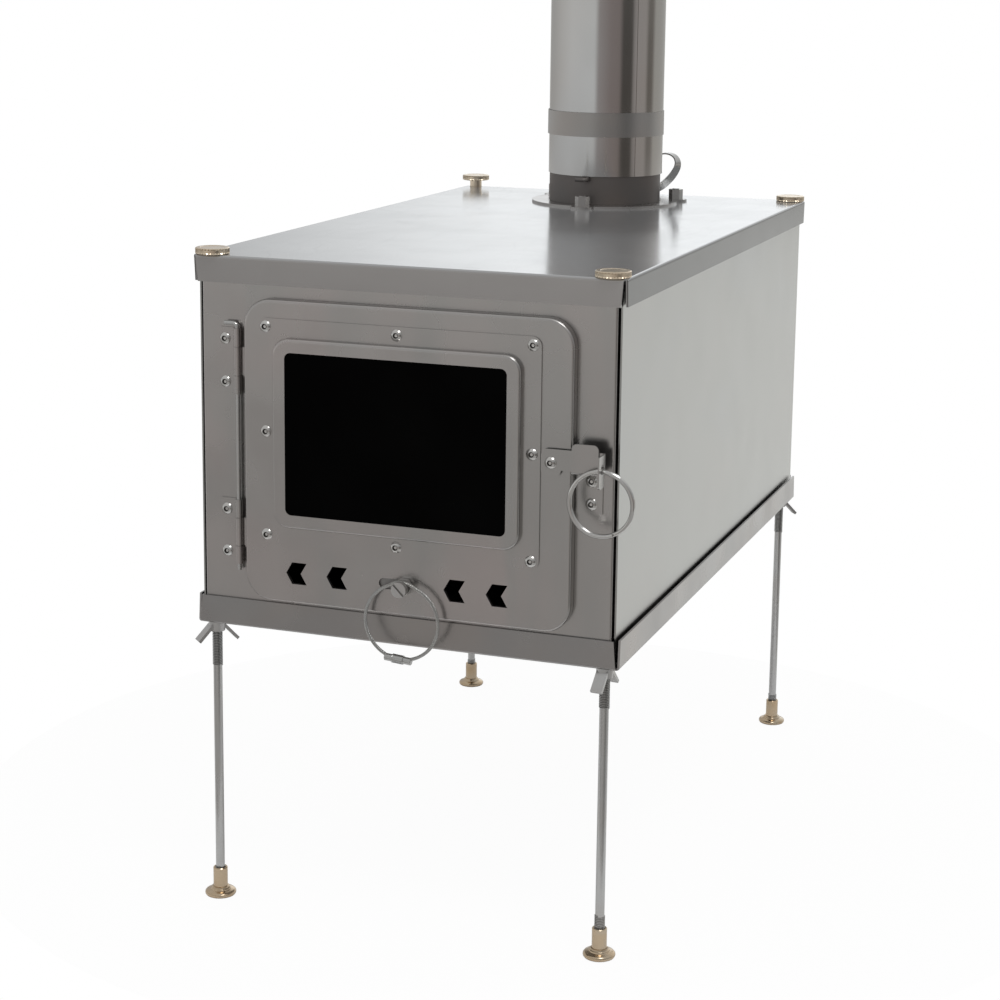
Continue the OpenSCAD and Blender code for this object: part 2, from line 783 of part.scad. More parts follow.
module hinge_screws() {
    color(bright_steel) on_front(front_y - leaf_t)
        for (z = hinge_z, s = [-1, 1]) translate([leaf_screw_x, z + s * leaf_screw_dz])
            button_screw(leaf_t + panel_t + m3_nut_h + m3_tip);
}

module hinge_nuts() {
    color(bright_steel) on_front(front_y + panel_t + m3_nut_h)
        for (z = hinge_z, s = [-1, 1]) translate([leaf_screw_x, z + s * leaf_screw_dz])
            hex_nut(m3_nut_af, m3_nut_h, m3_r + 0.02);
}

// ---------- door ----------

// Chevron hole pointing left, about its middle
module chevron_hole() {
    polygon([
        [-chevron / 2, 0], [chevron_point - chevron / 2, chevron / 2], [chevron / 2, chevron / 2],
        [chevron / 2 - chevron_point, 0], [chevron / 2, -chevron / 2],
        [chevron_point - chevron / 2, -chevron / 2]
    ]);
}

module air_holes() {
    for (pair = [-1, 1], s = [-1, 1])
        translate([air_cx + pair * chevron_pairs / 2 + s * chevron_pitch / 2, air_cz]) chevron_hole();
}

module at_window_screws() {
    for (c = screw_cols, r = [-1, 0, 1])
        if (abs(c) + abs(r) > 0)
            translate([win_cx + c * screw_w / 2, win_cz + r * screw_h / 2]) children();
}

module door_pan() {
    color(steel) difference() {
        on_front(door_back_y) translate([door_cx, door_cz])
            pressed_pan(door_w, door_h, door_corner, press_bend, door_t, door_depth);
        on_front(door_inside_y + 1) {
            linear_extrude(door_t + 2) {
                translate([win_cx, win_cz])
                    round_rect(opening_w + 2 * hole_margin, opening_h + 2 * hole_margin,
                        opening_corner + hole_margin);
                translate([air_cx, air_cz]) round_rect(slot_len, slot_h, slot_h / 2 - eps);
                air_holes();
            }
            at_window_screws() cylinder(h = door_t + 2, r = m3_r + hole_fit);
            translate([latch_x, latch_z]) cylinder(h = door_t + 2, r = m3_r + hole_fit);
        }
    }
}

// Pressed frame: flat flange on the door, raised border over the glass
module window_frame() {
    color(steel) on_front(door_face_y) translate([win_cx, win_cz]) difference() {
        union() {
            linear_extrude(door_t) difference() {
                round_rect(frame_w, frame_h, frame_corner);
                round_rect(border_w - door_t, border_h - door_t, border_corner - door_t / 2);
            }
            pressed_pan(border_w, border_h, border_corner, press_bend, door_t, border_rise);
        }
        translate([0, 0, 1]) linear_extrude(border_rise)
            round_rect(opening_w, opening_h, opening_corner);
        translate([-win_cx, -win_cz, -1]) at_window_screws()
            cylinder(h = door_t + 2, r = m3_r + hole_fit);
    }
}

module window_glass() {
    color([0.05, 0.05, 0.05, 0.8]) on_front(door_face_y - gasket_t) translate([win_cx, win_cz])
        linear_extrude(glass_t) round_rect(glass_w, glass_h, glass_corner);
}

module glass_gasket() {
    color([0.2, 0.2, 0.2]) on_front(door_face_y) translate([win_cx, win_cz])
        linear_extrude(gasket_t) difference() {
            round_rect(glass_w, glass_h, glass_corner);
            round_rect(opening_w + 3, opening_h + 3, opening_corner + 1.5);
        }
}

module window_screws() {
    color(bright_steel) on_front(frame_face_y) at_window_screws()
        button_screw(2 * door_t + m3_nut_h + m3_tip / 2);
}

module window_nuts() {
    color(bright_steel) on_front(door_inside_y + m3_nut_h) at_window_screws()
        hex_nut(m3_nut_af, m3_nut_h, m3_r + 0.02);
}

// Two Z-shaped rails that hold the air slide against the back of the door
module slider_guides() {
    lip = 1.6;
    foot_w = 4;
    rise = slip + slider_t + slip;
    rail_t = 0.6;
    length = slider_w - slide_travel - 8;
    color(steel) on_front(door_inside_y + rise + rail_t) for (s = [0, 1])
        translate([air_cx, air_cz]) mirror([0, s, 0]) translate([-length / 2, slider_h / 2 - lip, 0]) {
            cube([length, lip + slip + rail_t, rail_t]);
            translate([0, lip + slip, 0]) cube([length, rail_t, rise + rail_t]);
            translate([0, lip + slip, rise]) cube([length, foot_w, rail_t]);
        }
}

// ---------- air slide ----------

module air_slider() {
    color(steel) difference() {
        on_front(slider_y + slider_t) linear_extrude(slider_t) difference() {
            translate([air_cx, air_cz]) round_rect(slider_w, slider_h, 2);
            air_holes();
        }
        on_front(slider_y + slider_t + 1) translate([knob_x, air_cz])
            cylinder(h = slider_t + 2, r = m4_r + 0.05);
    }
}

// Slotted cheese-head screw, the slide's handle
module slider_screw() {
    tip_y = slider_y + slider_t + m4_nut_h + 0.6;
    color(bright_steel) on_front(knob_head_y) translate([knob_x, air_cz]) difference() {
        union() {
            cylinder(h = m4_head_h, r = m4_head_r);
            translate([0, 0, knob_head_y - tip_y]) cylinder(h = tip_y - knob_head_y + eps, r = m4_r);
        }
        translate([0, 0, m4_head_h]) rotate([0, 0, -45])
            cube([3 * m4_head_r, 1, 2 * 1.2], center = true);
    }
}

module slider_nuts() {
    color(bright_steel) {
        on_front(slider_y + slider_t + m4_nut_h) translate([knob_x, air_cz])
            hex_nut(m4_nut_af, m4_nut_h, m4_r + 0.02);
        on_front(knob_nut_front_y + m4_nut_h) translate([knob_x, air_cz])
            hex_nut(m4_nut_af, m4_nut_h, m4_r + 0.02);
    }
}

// Carries a drawing of the cable loop to its place, the screw's axis at the origin
module at_loop() {
    on_front(cable_y) translate([knob_x, air_cz]) children();
}

module barrel_space(r) {
    translate([0, -loop_drop]) rotate([0, 0, barrel_turn]) translate([0, -loop_r, 0])
        rotate([0, 90, 0]) cylinder(h = barrel_l, r = r, center = true);
}

// Wire cable hung over the screw in a ring, its two ends joined in the barrel
module cable_loop() {
    color(bright_steel) at_loop() difference() {
        translate([0, -loop_drop]) rotate_extrude($fn = 96)
            translate([loop_r, 0]) circle(cable_d / 2, $fn = 24);
        barrel_space(barrel_d);
    }
}

// Screw barrel that joins the cable's ends, thicker at its knurled middle
module cable_barrel() {
    middle = barrel_l * 0.42;
    color(bright_steel) at_loop() translate([0, -loop_drop]) rotate([0, 0, barrel_turn])
        translate([-barrel_l / 2, -loop_r, 0]) rotate([0, 90, 0]) {
            cylinder(h = barrel_l, d = barrel_d - 0.4, $fn = 32);
            translate([0, 0, (barrel_l - middle) / 2]) cylinder(h = middle, d = barrel_d, $fn = 32);
        }
}

// ---------- latch ----------

// Lever plate: a tab round the pivot and an arm to the right, its end folded out as a lug
module latch_lever() {
    fold = 1.4;
    arm_end = lug_x + lever_t / 2;
    color(steel) difference() {
        union() {
            on_front(lever_y) linear_extrude(lever_t) {
                translate([latch_x + (tab_right - tab_left) / 2, latch_z + (tab_up - tab_down) / 2])
                    round_rect(tab_left + tab_right, tab_up + tab_down, tab_corner);
                translate([latch_x, arm_bottom]) square([arm_end - fold - latch_x, arm_h]);
            }
            translate([arm_end, lever_y, leg_h + arm_bottom]) mirror([1, 0, 0])
                linear_extrude(arm_h) bend_section(fold, lever_t, lug_depth);
            translate([arm_end - lever_t, lever_y - lug_depth, leg_h + arm_bottom - lug_drop])
                cube([lever_t, lug_depth - fold - 1, lug_drop + 1]);
        }
        on_front(lever_y + 1) translate([latch_x, latch_z]) cylinder(h = lever_t + 2, r = m3_r + run_fit);
        translate([lug_x, lug_hole_y, leg_h + lug_hole_z]) rotate([0, 90, 0])
            cylinder(h = 4, r = lug_hole_r, center = true);
        translate([lug_x - 2, lever_y - lug_depth - 1, leg_h + arm_bottom - lug_drop - 1])
            lug_corner_cut();
    }
}

// Rounds the lug's lower outer corner
module lug_corner_cut() {
    r = 2.2;
    rotate([90, 0, 90]) linear_extrude(4) difference() {
        square(r + 1);
        translate([r + 1, r + 1]) circle(r);
    }
}

module latch_screw() {
    color(bright_steel) on_front(lever_face_y - slip / 3) translate([latch_x, latch_z])
        button_screw(slip / 3 + lever_t + spacer_t + door_t + m3_nut_h + m3_tip / 2);
}

module latch_spacer() {
    color(bright_steel) on_front(door_face_y) translate([latch_x, latch_z]) difference() {
        cylinder(h = spacer_t - 0.02, r = spacer_r);
        translate([0, 0, -1]) cylinder(h = spacer_t + 2, r = m3_r + 0.02);
    }
}

module latch_nut() {
    color(bright_steel) on_front(door_inside_y + m3_nut_h) translate([latch_x, latch_z])
        hex_nut(m3_nut_af, m3_nut_h, m3_r + 0.02);
}

// Split ring: two coils of flat wire lying against each other
module latch_ring() {
    color(bright_steel) translate([lug_x, lug_hole_y, leg_h + lug_hole_z - ring_hang - ring_r])
        rotate([90, 0, 0]) rotate_extrude($fn = 96) translate([ring_r, 0])
            round_rect(ring_wire_w, ring_wire_t, 0.5);
}

// Keeper: base plate on the panel, stepped out to a lip that the arm drops behind
module latch_keeper() {
    reach = front_y - lip_y;
    corner = 2.4;
    color(steel) difference() {
        union() {
            on_front(front_y) translate([keeper_left, base_bottom])
                cube([keeper_w, web_top - base_bottom, keeper_t]);
            translate([keeper_left, lip_y + lip_bend, leg_h + web_top - keeper_t])
                cube([keeper_w, reach - lip_bend, keeper_t]);
            translate([keeper_left, lip_y, leg_h + web_top - keeper_t]) rotate([90, 0, 90])
                linear_extrude(keeper_w) mirror([0, 1]) bend_section(lip_bend, keeper_t,
                    lip_top - web_top + keeper_t);
        }
        on_front(front_y + 1) for (z = keeper_screw_z)
            translate([keeper_screw_x, z]) cylinder(h = 4, r = m3_r + hole_fit);
        on_front(lip_y + keeper_t + 1) for (s = [0, 1])
            translate([keeper_cx, lip_top]) mirror([s, 0]) translate([keeper_w / 2 - corner, -corner])
                linear_extrude(keeper_t + 2) difference() {
                    square(corner + 1);
                    circle(corner);
                }
        on_front(front_y + 1) for (s = [0, 1])
            translate([keeper_cx, base_bottom]) mirror([s, 0])
                translate([keeper_w / 2 - corner / 2, corner / 2]) linear_extrude(keeper_t + 2)
                    difference() {
                        translate([0, -corner]) square([corner, corner]);
                        circle(corner / 2);
                    }
    }
}

module keeper_screws() {
    color(bright_steel) on_front(front_y - keeper_t) for (z = keeper_screw_z)
        translate([keeper_screw_x, z]) button_screw(keeper_t + panel_t + m3_nut_h + m3_tip);
}

module keeper_nuts() {
    color(bright_steel) on_front(front_y + panel_t + m3_nut_h) for (z = keeper_screw_z)
        translate([keeper_screw_x, z]) hex_nut(m3_nut_af, m3_nut_h, m3_r + 0.02);
}

// ---------- every piece ----------

bottom_tray();
lid_plate();
front_panel();
rear_panel();
side_panel(-1);  // left_side_panel
side_panel(1);  // right_side_panel
fire_grate();
leg_rod(0);  // leg_rod_front_left
leg_rod(1);  // leg_rod_front_right
leg_rod(2);  // leg_rod_rear_left
leg_rod(3);  // leg_rod_rear_right
foot(0);  // foot_front_left
foot(1);  // foot_front_right
foot(2);  // foot_rear_left
foot(3);  // foot_rear_right
wing_nut(0, 45);  // wing_nut_front_left
wing_nut(1, 84);  // wing_nut_front_right
wing_nut(2, 20);  // wing_nut_rear_left
wing_nut(3, 35);  // wing_nut_rear_right
thumb_nut(0, 0);  // thumb_nut_front_left
thumb_nut(1, 0);  // thumb_nut_front_right
thumb_nut(2, loose_lift);  // thumb_nut_rear_left
thumb_nut(3, 0);  // thumb_nut_rear_right
flue_flange();
flue_collar();
flue_flange_bolts();
flue_flange_nuts();
flue_pipe();
flue_band();
damper_plate();
damper_shaft();
damper_handle();
hinge_leaf(hinge_z[0]);  // upper_hinge_leaf
hinge_leaf(hinge_z[1]);  // lower_hinge_leaf
hinge_pin();
hinge_screws();
hinge_nuts();
latch_keeper();
keeper_screws();
keeper_nuts();
door_pan();
door_knuckle(hinge_z[0]);  // upper_door_knuckle
door_knuckle(hinge_z[1]);  // lower_door_knuckle
slider_guides();
window_frame();
window_glass();
glass_gasket();
window_screws();
window_nuts();
latch_lever();
latch_screw();
latch_spacer();
latch_nut();
latch_ring();
air_slider();
slider_screw();
slider_nuts();
cable_loop();
cable_barrel();
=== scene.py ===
# %% [markdown]
# # A tent wood stove
#
# This notebook dresses a small sheet-steel stove: a firebox on four threaded rods, with a glazed
# door, an air slide, a drop latch, and a flue at the back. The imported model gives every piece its
# place in metres, with the floor at z = 0, the door towards -Y and the flue towards +Y.
# Pieces whose shape is already right keep their mesh and get a finish. Threads, knurls, screw
# sockets, the split ring, the stranded cable and the twisted handle are too fine for that model,
# so they are made here, and the air slide's plate gets a longer end.

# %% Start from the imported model
import json
import math

import bmesh
import bpy
from mathutils import Matrix, Vector

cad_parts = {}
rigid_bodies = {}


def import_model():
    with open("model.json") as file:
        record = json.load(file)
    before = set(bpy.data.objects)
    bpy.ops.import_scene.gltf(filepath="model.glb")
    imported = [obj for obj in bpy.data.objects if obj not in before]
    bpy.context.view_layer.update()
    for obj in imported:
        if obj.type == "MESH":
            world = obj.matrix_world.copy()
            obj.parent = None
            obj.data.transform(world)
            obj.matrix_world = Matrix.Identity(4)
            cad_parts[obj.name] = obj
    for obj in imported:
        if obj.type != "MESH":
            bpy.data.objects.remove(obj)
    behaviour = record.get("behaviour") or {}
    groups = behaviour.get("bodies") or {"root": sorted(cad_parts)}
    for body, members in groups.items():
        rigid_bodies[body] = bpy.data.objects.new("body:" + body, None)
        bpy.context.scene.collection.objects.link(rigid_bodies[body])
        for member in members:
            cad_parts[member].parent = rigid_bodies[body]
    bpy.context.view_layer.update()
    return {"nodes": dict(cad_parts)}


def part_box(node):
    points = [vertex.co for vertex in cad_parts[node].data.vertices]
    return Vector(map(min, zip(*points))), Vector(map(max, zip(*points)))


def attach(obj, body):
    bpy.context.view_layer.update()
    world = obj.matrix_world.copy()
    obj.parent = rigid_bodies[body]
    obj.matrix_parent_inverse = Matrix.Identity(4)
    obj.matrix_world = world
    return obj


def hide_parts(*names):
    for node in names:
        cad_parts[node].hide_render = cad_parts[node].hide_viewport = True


for leftover in list(bpy.data.objects):
    bpy.data.objects.remove(leftover, do_unlink=True)
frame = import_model()
MM = 0.001
print("pieces in the model:", len(frame["nodes"]))

# %% [markdown]
# ## The camera
# The stove was photographed from the right of its door, a little above the lid, with a long lens.
# The camera's place is worked out from the corners of the lid, tray and feet, and not by eye, so
# that every edge of the body falls on its line. A camera looks along its own -Z, so its three
# axes, right, up and back, are the columns of its matrix.

# %% Place the camera
CAMERA_AT = Vector((0.3772, -1.1060, 0.4500))
TURN_RIGHT, TURN_UP, ROLL = (math.radians(angle) for angle in (20.149, 11.011, 0.566))
FOCAL_PIXELS, PICTURE, SENSOR = 2244.5, 1000, 36
LENS_SHIFT = (0.02, -0.10)


def add_object(name, data):
    """Put a camera, lamp, curve or mesh into the scene."""
    made = bpy.data.objects.new(name, data)
    bpy.context.collection.objects.link(made)
    return made


back = Vector((
    math.sin(TURN_RIGHT) * math.cos(TURN_UP),
    -math.cos(TURN_RIGHT) * math.cos(TURN_UP),
    math.sin(TURN_UP),
))
level = Vector((0, 0, 1)).cross(back).normalized()
raised = back.cross(level)
right = level * math.cos(ROLL) + raised * math.sin(ROLL)
up = raised * math.cos(ROLL) - level * math.sin(ROLL)

lens = bpy.data.cameras.new("photo_camera")
lens.lens = FOCAL_PIXELS / PICTURE * SENSOR
lens.sensor_width = SENSOR
lens.shift_x, lens.shift_y = LENS_SHIFT
camera = add_object("photo_camera", lens)
axes = Matrix((right, up, back)).transposed().to_4x4()
camera.matrix_world = Matrix.Translation(CAMERA_AT) @ axes
bpy.context.scene.camera = camera
bpy.context.scene.view_settings.view_transform = "Standard"
print("lens:", round(lens.lens, 1), "mm")

# %% [markdown]
# ## Helpers for nodes
# Shader trees are quicker to read when each node is one call. `add` makes a node, sets its
# properties and its inputs, and joins any input whose value is another node's socket. `ramp`
# turns a number into a colour, and `blend` mixes two colours.

# %% Node helpers
def add(tree, kind, inputs=None, **settings):
    made = tree.nodes.new("ShaderNode" + kind)
    for name, value in settings.items():
        setattr(made, name, value)
    for name, value in (inputs or {}).items():
        if isinstance(value, bpy.types.NodeSocket):
            tree.links.new(value, made.inputs[name])
        else:
            made.inputs[name].default_value = value
    return made


def ramp(tree, factor, stops):
    """A colour ramp through stops of a place and a colour, or a place and a grey level."""
    made = add(tree, "ValToRGB", {0: factor})
    elements = made.color_ramp.elements
    while len(elements) < len(stops):
        elements.new(0.5)
    for element, (place, colour) in zip(elements, stops):
        element.position = place
        element.color = (*colour, 1) if isinstance(colour, tuple) else (colour,) * 3 + (1,)
    return made.outputs["Color"]


def blend(tree, factor, first, second):
    """Mix two colours, which are a Mix node's inputs 6 and 7. Its output 2 is the result."""
    made = add(tree, "Mix", {"Factor": factor, 6: first, 7: second}, data_type="RGBA")
    return made.outputs[2]


def new_material(name):
    made = bpy.data.materials.new(name)
    made.use_nodes = True
    made.node_tree.nodes.clear()
    return made


def show_shader(tree, shader):
    """Join a shader to its material's output."""
    tree.links.new(shader.outputs[0], add(tree, "OutputMaterial").inputs["Surface"])


# %% [markdown]
# ## The studio
# Bare metal has almost no colour of its own: it shows the room. The flue shows it best, because a
# round pipe mirrors every compass angle as an upright band, and the lid shows the backdrop. Three
# colour ramps round the compass, for what lies low, level and raised, are mixed by height, with
# one plain colour overhead and one underfoot. The Light Path node lets the camera see plain
# white, lets reflections see the room, and lets matt surfaces be lit by an even white.

# %% World
WHITE, EVEN_LIGHT = (1, 1, 1, 1), 0.9
OVERHEAD, UNDERFOOT = (0.66, 0.66, 0.655, 1), (0.47, 0.465, 0.455, 1)
world = bpy.data.worlds.new("studio")
bpy.context.scene.world = world
world.use_nodes = True
tree = world.node_tree
tree.nodes.clear()
toward = add(tree, "TexCoord").outputs["Generated"]
compass = add(tree, "TexGradient", {"Vector": toward}, gradient_type="RADIAL").outputs["Fac"]


def bearing(degrees):
    """Ramp place of a compass angle, counted from the door towards the right-hand side."""
    return (degrees + 90) / 360


def around(*stops):
    """The colours that a reflection meets at each compass angle."""
    return ramp(tree, compass, [(bearing(degrees), colour) for degrees, colour in stops])


low_band = around(
    (-90, (0.60, 0.59, 0.58)), (-34, (0.37, 0.355, 0.345)), (-26, (0.40, 0.385, 0.375)),
    (-18, (0.50, 0.48, 0.465)), (8, (0.50, 0.48, 0.46)), (38, (0.34, 0.32, 0.30)),
    (54, (0.10, 0.095, 0.09)), (66, (0.12, 0.115, 0.11)), (82, (0.44, 0.43, 0.42)),
    (110, (0.52, 0.51, 0.50)), (150, (0.90, 0.905, 0.88)), (166, (0.96, 0.965, 0.94)),
    (240, (0.90, 0.90, 0.89)), (270, (0.62, 0.61, 0.60)),
)
level_band = around(
    (-90, (0.80, 0.80, 0.785)), (-60, (0.93, 0.935, 0.92)), (-8, (0.93, 0.935, 0.915)),
    (0, (0.47, 0.43, 0.415)), (24, (0.35, 0.295, 0.28)), (42, (0.33, 0.28, 0.265)),
    (49, (0.11, 0.10, 0.09)), (68, (0.12, 0.11, 0.10)), (74, (0.50, 0.47, 0.455)),
    (100, (0.50, 0.47, 0.45)), (108, (0.22, 0.205, 0.185)), (119, (0.24, 0.22, 0.20)),
    (128, (0.56, 0.55, 0.52)), (225, (0.50, 0.50, 0.49)), (270, (0.80, 0.80, 0.785)),
)
raised_band = around(
    (-90, 0.60), (-30, 0.55), (20, 0.40), (60, 0.30), (100, 0.45), (150, 0.95),
    (192, (1.32, 1.35, 1.37)), (200, (1.20, 1.225, 1.24)), (204, (0.86, 0.875, 0.885)),
    (209, (0.46, 0.465, 0.47)), (235, (0.60, 0.60, 0.60)), (270, 0.60),
)
# A layer begins to show at its first height and hides the ones before it from its second on.
LAYERS = (
    (-0.115, -0.083, level_band), (0.01, 0.08, raised_band),
    (0.25, 0.8, OVERHEAD), (-0.33, -0.40, UNDERFOOT),
)
height = add(tree, "SeparateXYZ", {0: toward}).outputs["Z"]
studio = low_band
for begins, covers, colour in LAYERS:
    over = add(tree, "MapRange", {0: height, "From Min": begins, "From Max": covers})
    studio = blend(tree, over.outputs["Result"], studio, colour)

ray = add(tree, "LightPath").outputs
mirrored = add(tree, "Math", {0: ray["Is Glossy Ray"], 1: ray["Is Transmission Ray"]},
    operation="MAXIMUM").outputs[0]
even = add(tree, "Background", {"Color": WHITE, "Strength": EVEN_LIGHT})
seen_in_metal = add(tree, "Background", {"Color": studio, "Strength": 1.0})
white = add(tree, "Background", {"Color": WHITE, "Strength": 1.0})
lighting = add(tree, "MixShader", {0: mirrored, 1: even.outputs[0], 2: seen_in_metal.outputs[0]})
shown = add(tree, "MixShader", {
    0: ray["Is Camera Ray"], 1: lighting.outputs[0], 2: white.outputs[0]})
tree.links.new(shown.outputs[0], add(tree, "OutputWorld").inputs["Surface"])
print("world nodes:", len(tree.nodes))

# %% [markdown]
# ## One soft lamp
# A small soft lamp, high on the right, is several times as bright as the room, so the screws, the
# bends and the ring catch highlights. A lamp's power is spread over its area, so of two equal
# lamps the smaller looks brighter in a mirror. Here the power is worked out from the area.

# %% Softbox
LAMP_AT, LAMP_AIM = Vector((0.47, -0.62, 1.30)), Vector((0.08, -0.18, 0.22))
LAMP_WIDE, LAMP_DEEP, LAMP_BRIGHTNESS = 0.42, 0.34, 8.0
lamp = bpy.data.lights.new("softbox_above", "AREA")
lamp.shape = "RECTANGLE"
lamp.size, lamp.size_y = LAMP_WIDE, LAMP_DEEP
lamp.energy = LAMP_BRIGHTNESS * math.pi * LAMP_WIDE * LAMP_DEEP
softbox = add_object("softbox_above", lamp)
softbox.location = LAMP_AT
softbox.rotation_euler = (LAMP_AIM - LAMP_AT).to_track_quat("-Z", "Y").to_euler()
print("lamp power:", round(lamp.energy, 2), "W")

# %% [markdown]
# ## The floor
# A pale round floor, just large enough to carry the stove and its shadow. Camera rays get most of
# their white from an emission, so the floor melts into the white room, while the shadow under
# the feet still shows a little, and metal still mirrors a real lit floor.

# %% Floor
FLOOR_RADIUS, WHITE_SHARE = 0.30, 0.95


def as_mesh(shape, name):
    """Write a bmesh into a new mesh and free it."""
    mesh = bpy.data.meshes.new(name)
    shape.to_mesh(mesh)
    shape.free()
    return mesh


disc = bmesh.new()
bmesh.ops.create_circle(disc, cap_ends=True, segments=96, radius=FLOOR_RADIUS)
floor = add_object("floor", as_mesh(disc, "floor"))

paint = new_material("floor_white")
tree = paint.node_tree
speckle = add(tree, "TexNoise", {
    "Vector": add(tree, "TexCoord").outputs["Object"], "Scale": 140.0, "Detail": 3.0})
matt = add(tree, "BsdfPrincipled", {
    "Base Color": ramp(tree, speckle.outputs[0], [(0.3, 0.84), (0.7, 0.86)]), "Roughness": 0.9})
glow = add(tree, "Emission", {"Color": WHITE, "Strength": 1.0})
seen = add(tree, "LightPath").outputs["Is Camera Ray"]
share = add(tree, "Math", {0: seen, 1: WHITE_SHARE}, operation="MULTIPLY").outputs[0]
show_shader(tree, add(tree, "MixShader", {0: share, 1: matt.outputs[0], 2: glow.outputs[0]}))
floor.data.materials.append(paint)
print("floor radius:", FLOOR_RADIUS, "m")

# %% [markdown]
# ## Shared effects
# Three node groups hold what all the metal here has in common. **heat_cloud** drifts a colour
# towards a warm and a cool tint in soft patches, as steel does that has been near a fire.
# **sheet_grain** gives the fine lines that rolling leaves, a slow wave of the thin sheet, and a
# roughness that changes with handling. **scuffs** finds thin scattered scratches.

# %% Node group helper
def new_group(name, inputs, outputs):
    group = bpy.data.node_groups.new(name, "ShaderNodeTree")
    for title, kind, value in inputs:
        socket = group.interface.new_socket(title, in_out="INPUT", socket_type="NodeSocket" + kind)
        if value is not None:
            socket.default_value = value
    for title, kind in outputs:
        group.interface.new_socket(title, in_out="OUTPUT", socket_type="NodeSocket" + kind)
    start = group.nodes.new("NodeGroupInput").outputs
    end = group.nodes.new("NodeGroupOutput").inputs
    return group, start, end


# %% Heat cloud
COOL_APART = (0.37, 0.11, 0.23)
heat_cloud, given, result = new_group(
    "heat_cloud",
    [("Vector", "Vector", None), ("Size", "Float", 14.0), ("Draw", "Vector", (1, 1, 1)),
        ("Colour", "Color", (0.4, 0.4, 0.4, 1)),
        ("Warm", "Color", (0.4, 0.36, 0.33, 1)), ("Cool", "Color", (0.4, 0.4, 0.42, 1))],
    [("Color", "Color")],
)
patches = add(heat_cloud, "TexNoise", {
    "Vector": given["Vector"], "Scale": given["Size"], "Detail": 1.5})
warm_part = add(heat_cloud, "MapRange", {
    0: patches.outputs[0], "From Min": 0.45, "From Max": 0.75})
moved = add(heat_cloud, "VectorMath", {0: given["Vector"], 1: COOL_APART}, operation="ADD")
drawn_out = add(heat_cloud, "VectorMath", {0: moved.outputs[0], 1: given["Draw"]},
    operation="MULTIPLY")
streaks = add(heat_cloud, "TexNoise", {
    "Vector": drawn_out.outputs[0], "Scale": given["Size"], "Detail": 1.5, "Distortion": 0.4})
cool_part = add(heat_cloud, "MapRange", {0: streaks.outputs[0], "From Min": 0.5, "From Max": 0.8})
warmed = blend(heat_cloud, warm_part.outputs[0], given["Colour"], given["Warm"])
cooled = blend(heat_cloud, cool_part.outputs[0], warmed, given["Cool"])
heat_cloud.links.new(cooled, result["Color"])

# %% Sheet grain
LINE_SHARE = 0.01
sheet_grain, given, result = new_group(
    "sheet_grain",
    [("Vector", "Vector", None), ("Stretch", "Vector", (1, 1, 1)), ("Fineness", "Float", 900.0),
        ("Smooth", "Float", 0.25), ("Rough", "Float", 0.35), ("Wave", "Float", 9.0)],
    [("Height", "Float"), ("Wave", "Float"), ("Roughness", "Float")],
)
drawn = add(sheet_grain, "VectorMath", {0: given["Vector"], 1: given["Stretch"]},
    operation="MULTIPLY")
lines = add(sheet_grain, "TexNoise", {
    "Vector": drawn.outputs[0], "Scale": given["Fineness"], "Detail": 3.0})
handled = add(sheet_grain, "TexNoise", {"Vector": given["Vector"], "Scale": 30.0, "Detail": 2.0})
spread = add(sheet_grain, "MapRange", {
    0: handled.outputs[0], "From Min": 0.35, "From Max": 0.7,
    "To Min": given["Smooth"], "To Max": given["Rough"]})
line_part = add(sheet_grain, "Math", {0: lines.outputs[0], 1: LINE_SHARE}, operation="MULTIPLY")
total = add(sheet_grain, "Math", {0: spread.outputs[0], 1: line_part.outputs[0]}, operation="ADD")
slow = add(sheet_grain, "TexNoise", {
    "Vector": given["Vector"], "Scale": given["Wave"], "Detail": 1.0})
sheet_grain.links.new(lines.outputs[0], result["Height"])
sheet_grain.links.new(slow.outputs[0], result["Wave"])
sheet_grain.links.new(total.outputs[0], result["Roughness"])

# %% Scuffs
scuffs, given, result = new_group(
    "scuffs",
    [("Vector", "Vector", None), ("Stretch", "Vector", (1, 1, 1)), ("Spacing", "Float", 60.0),
        ("Width", "Float", 0.02)],
    [("Mask", "Float")],
)
bent = add(scuffs, "TexNoise", {"Vector": given["Vector"], "Scale": 25.0, "Detail": 1.0})
pushed = add(scuffs, "VectorMath", {0: bent.outputs["Color"], "Scale": 0.02}, operation="SCALE")
swayed = add(scuffs, "VectorMath", {0: given["Vector"], 1: pushed.outputs[0]}, operation="ADD")
drawn = add(scuffs, "VectorMath", {0: swayed.outputs[0], 1: given["Stretch"]},
    operation="MULTIPLY")
cells = add(scuffs, "TexVoronoi", {"Vector": drawn.outputs[0], "Scale": given["Spacing"]},
    feature="DISTANCE_TO_EDGE")
thin = add(scuffs, "MapRange", {
    0: cells.outputs["Distance"], "From Min": 0.0, "From Max": given["Width"],
    "To Min": 1.0, "To Max": 0.0})
scuffs.links.new(thin.outputs[0], result["Mask"])
print("groups:", [group.name for group in bpy.data.node_groups])

# %% [markdown]
# ## Metal finishes
# One function lays out every metal: a clouded colour, a roughness that varies, a slow wave and fine
# grain as bumps. What differs is only numbers: the side panels, lid and flue are smoother than the
# front, so they mirror the room more sharply. Threads, screw sockets and the cable's core get a
# darker steel, which is painted shade.
# Metallic is one plain value for each metal, lower on the lid, whose dull film scatters some light.
# The lid's turned-down rims carry painted shade: the front rim is painted darker and warmer, the
# side rims much darker, told apart by where they lie.

# %% Metal maker
GRAIN_DEPTH = 0.02 * MM
# Where the lid's top turns into its front rim, as heights, and into its side rims, as distances from
# the middle. The painted rim shade fades in between each pair.
FRONT_RIM_TURN, SIDE_RIM_TURN = (0.3163, 0.3155), (0.1042, 0.1048)


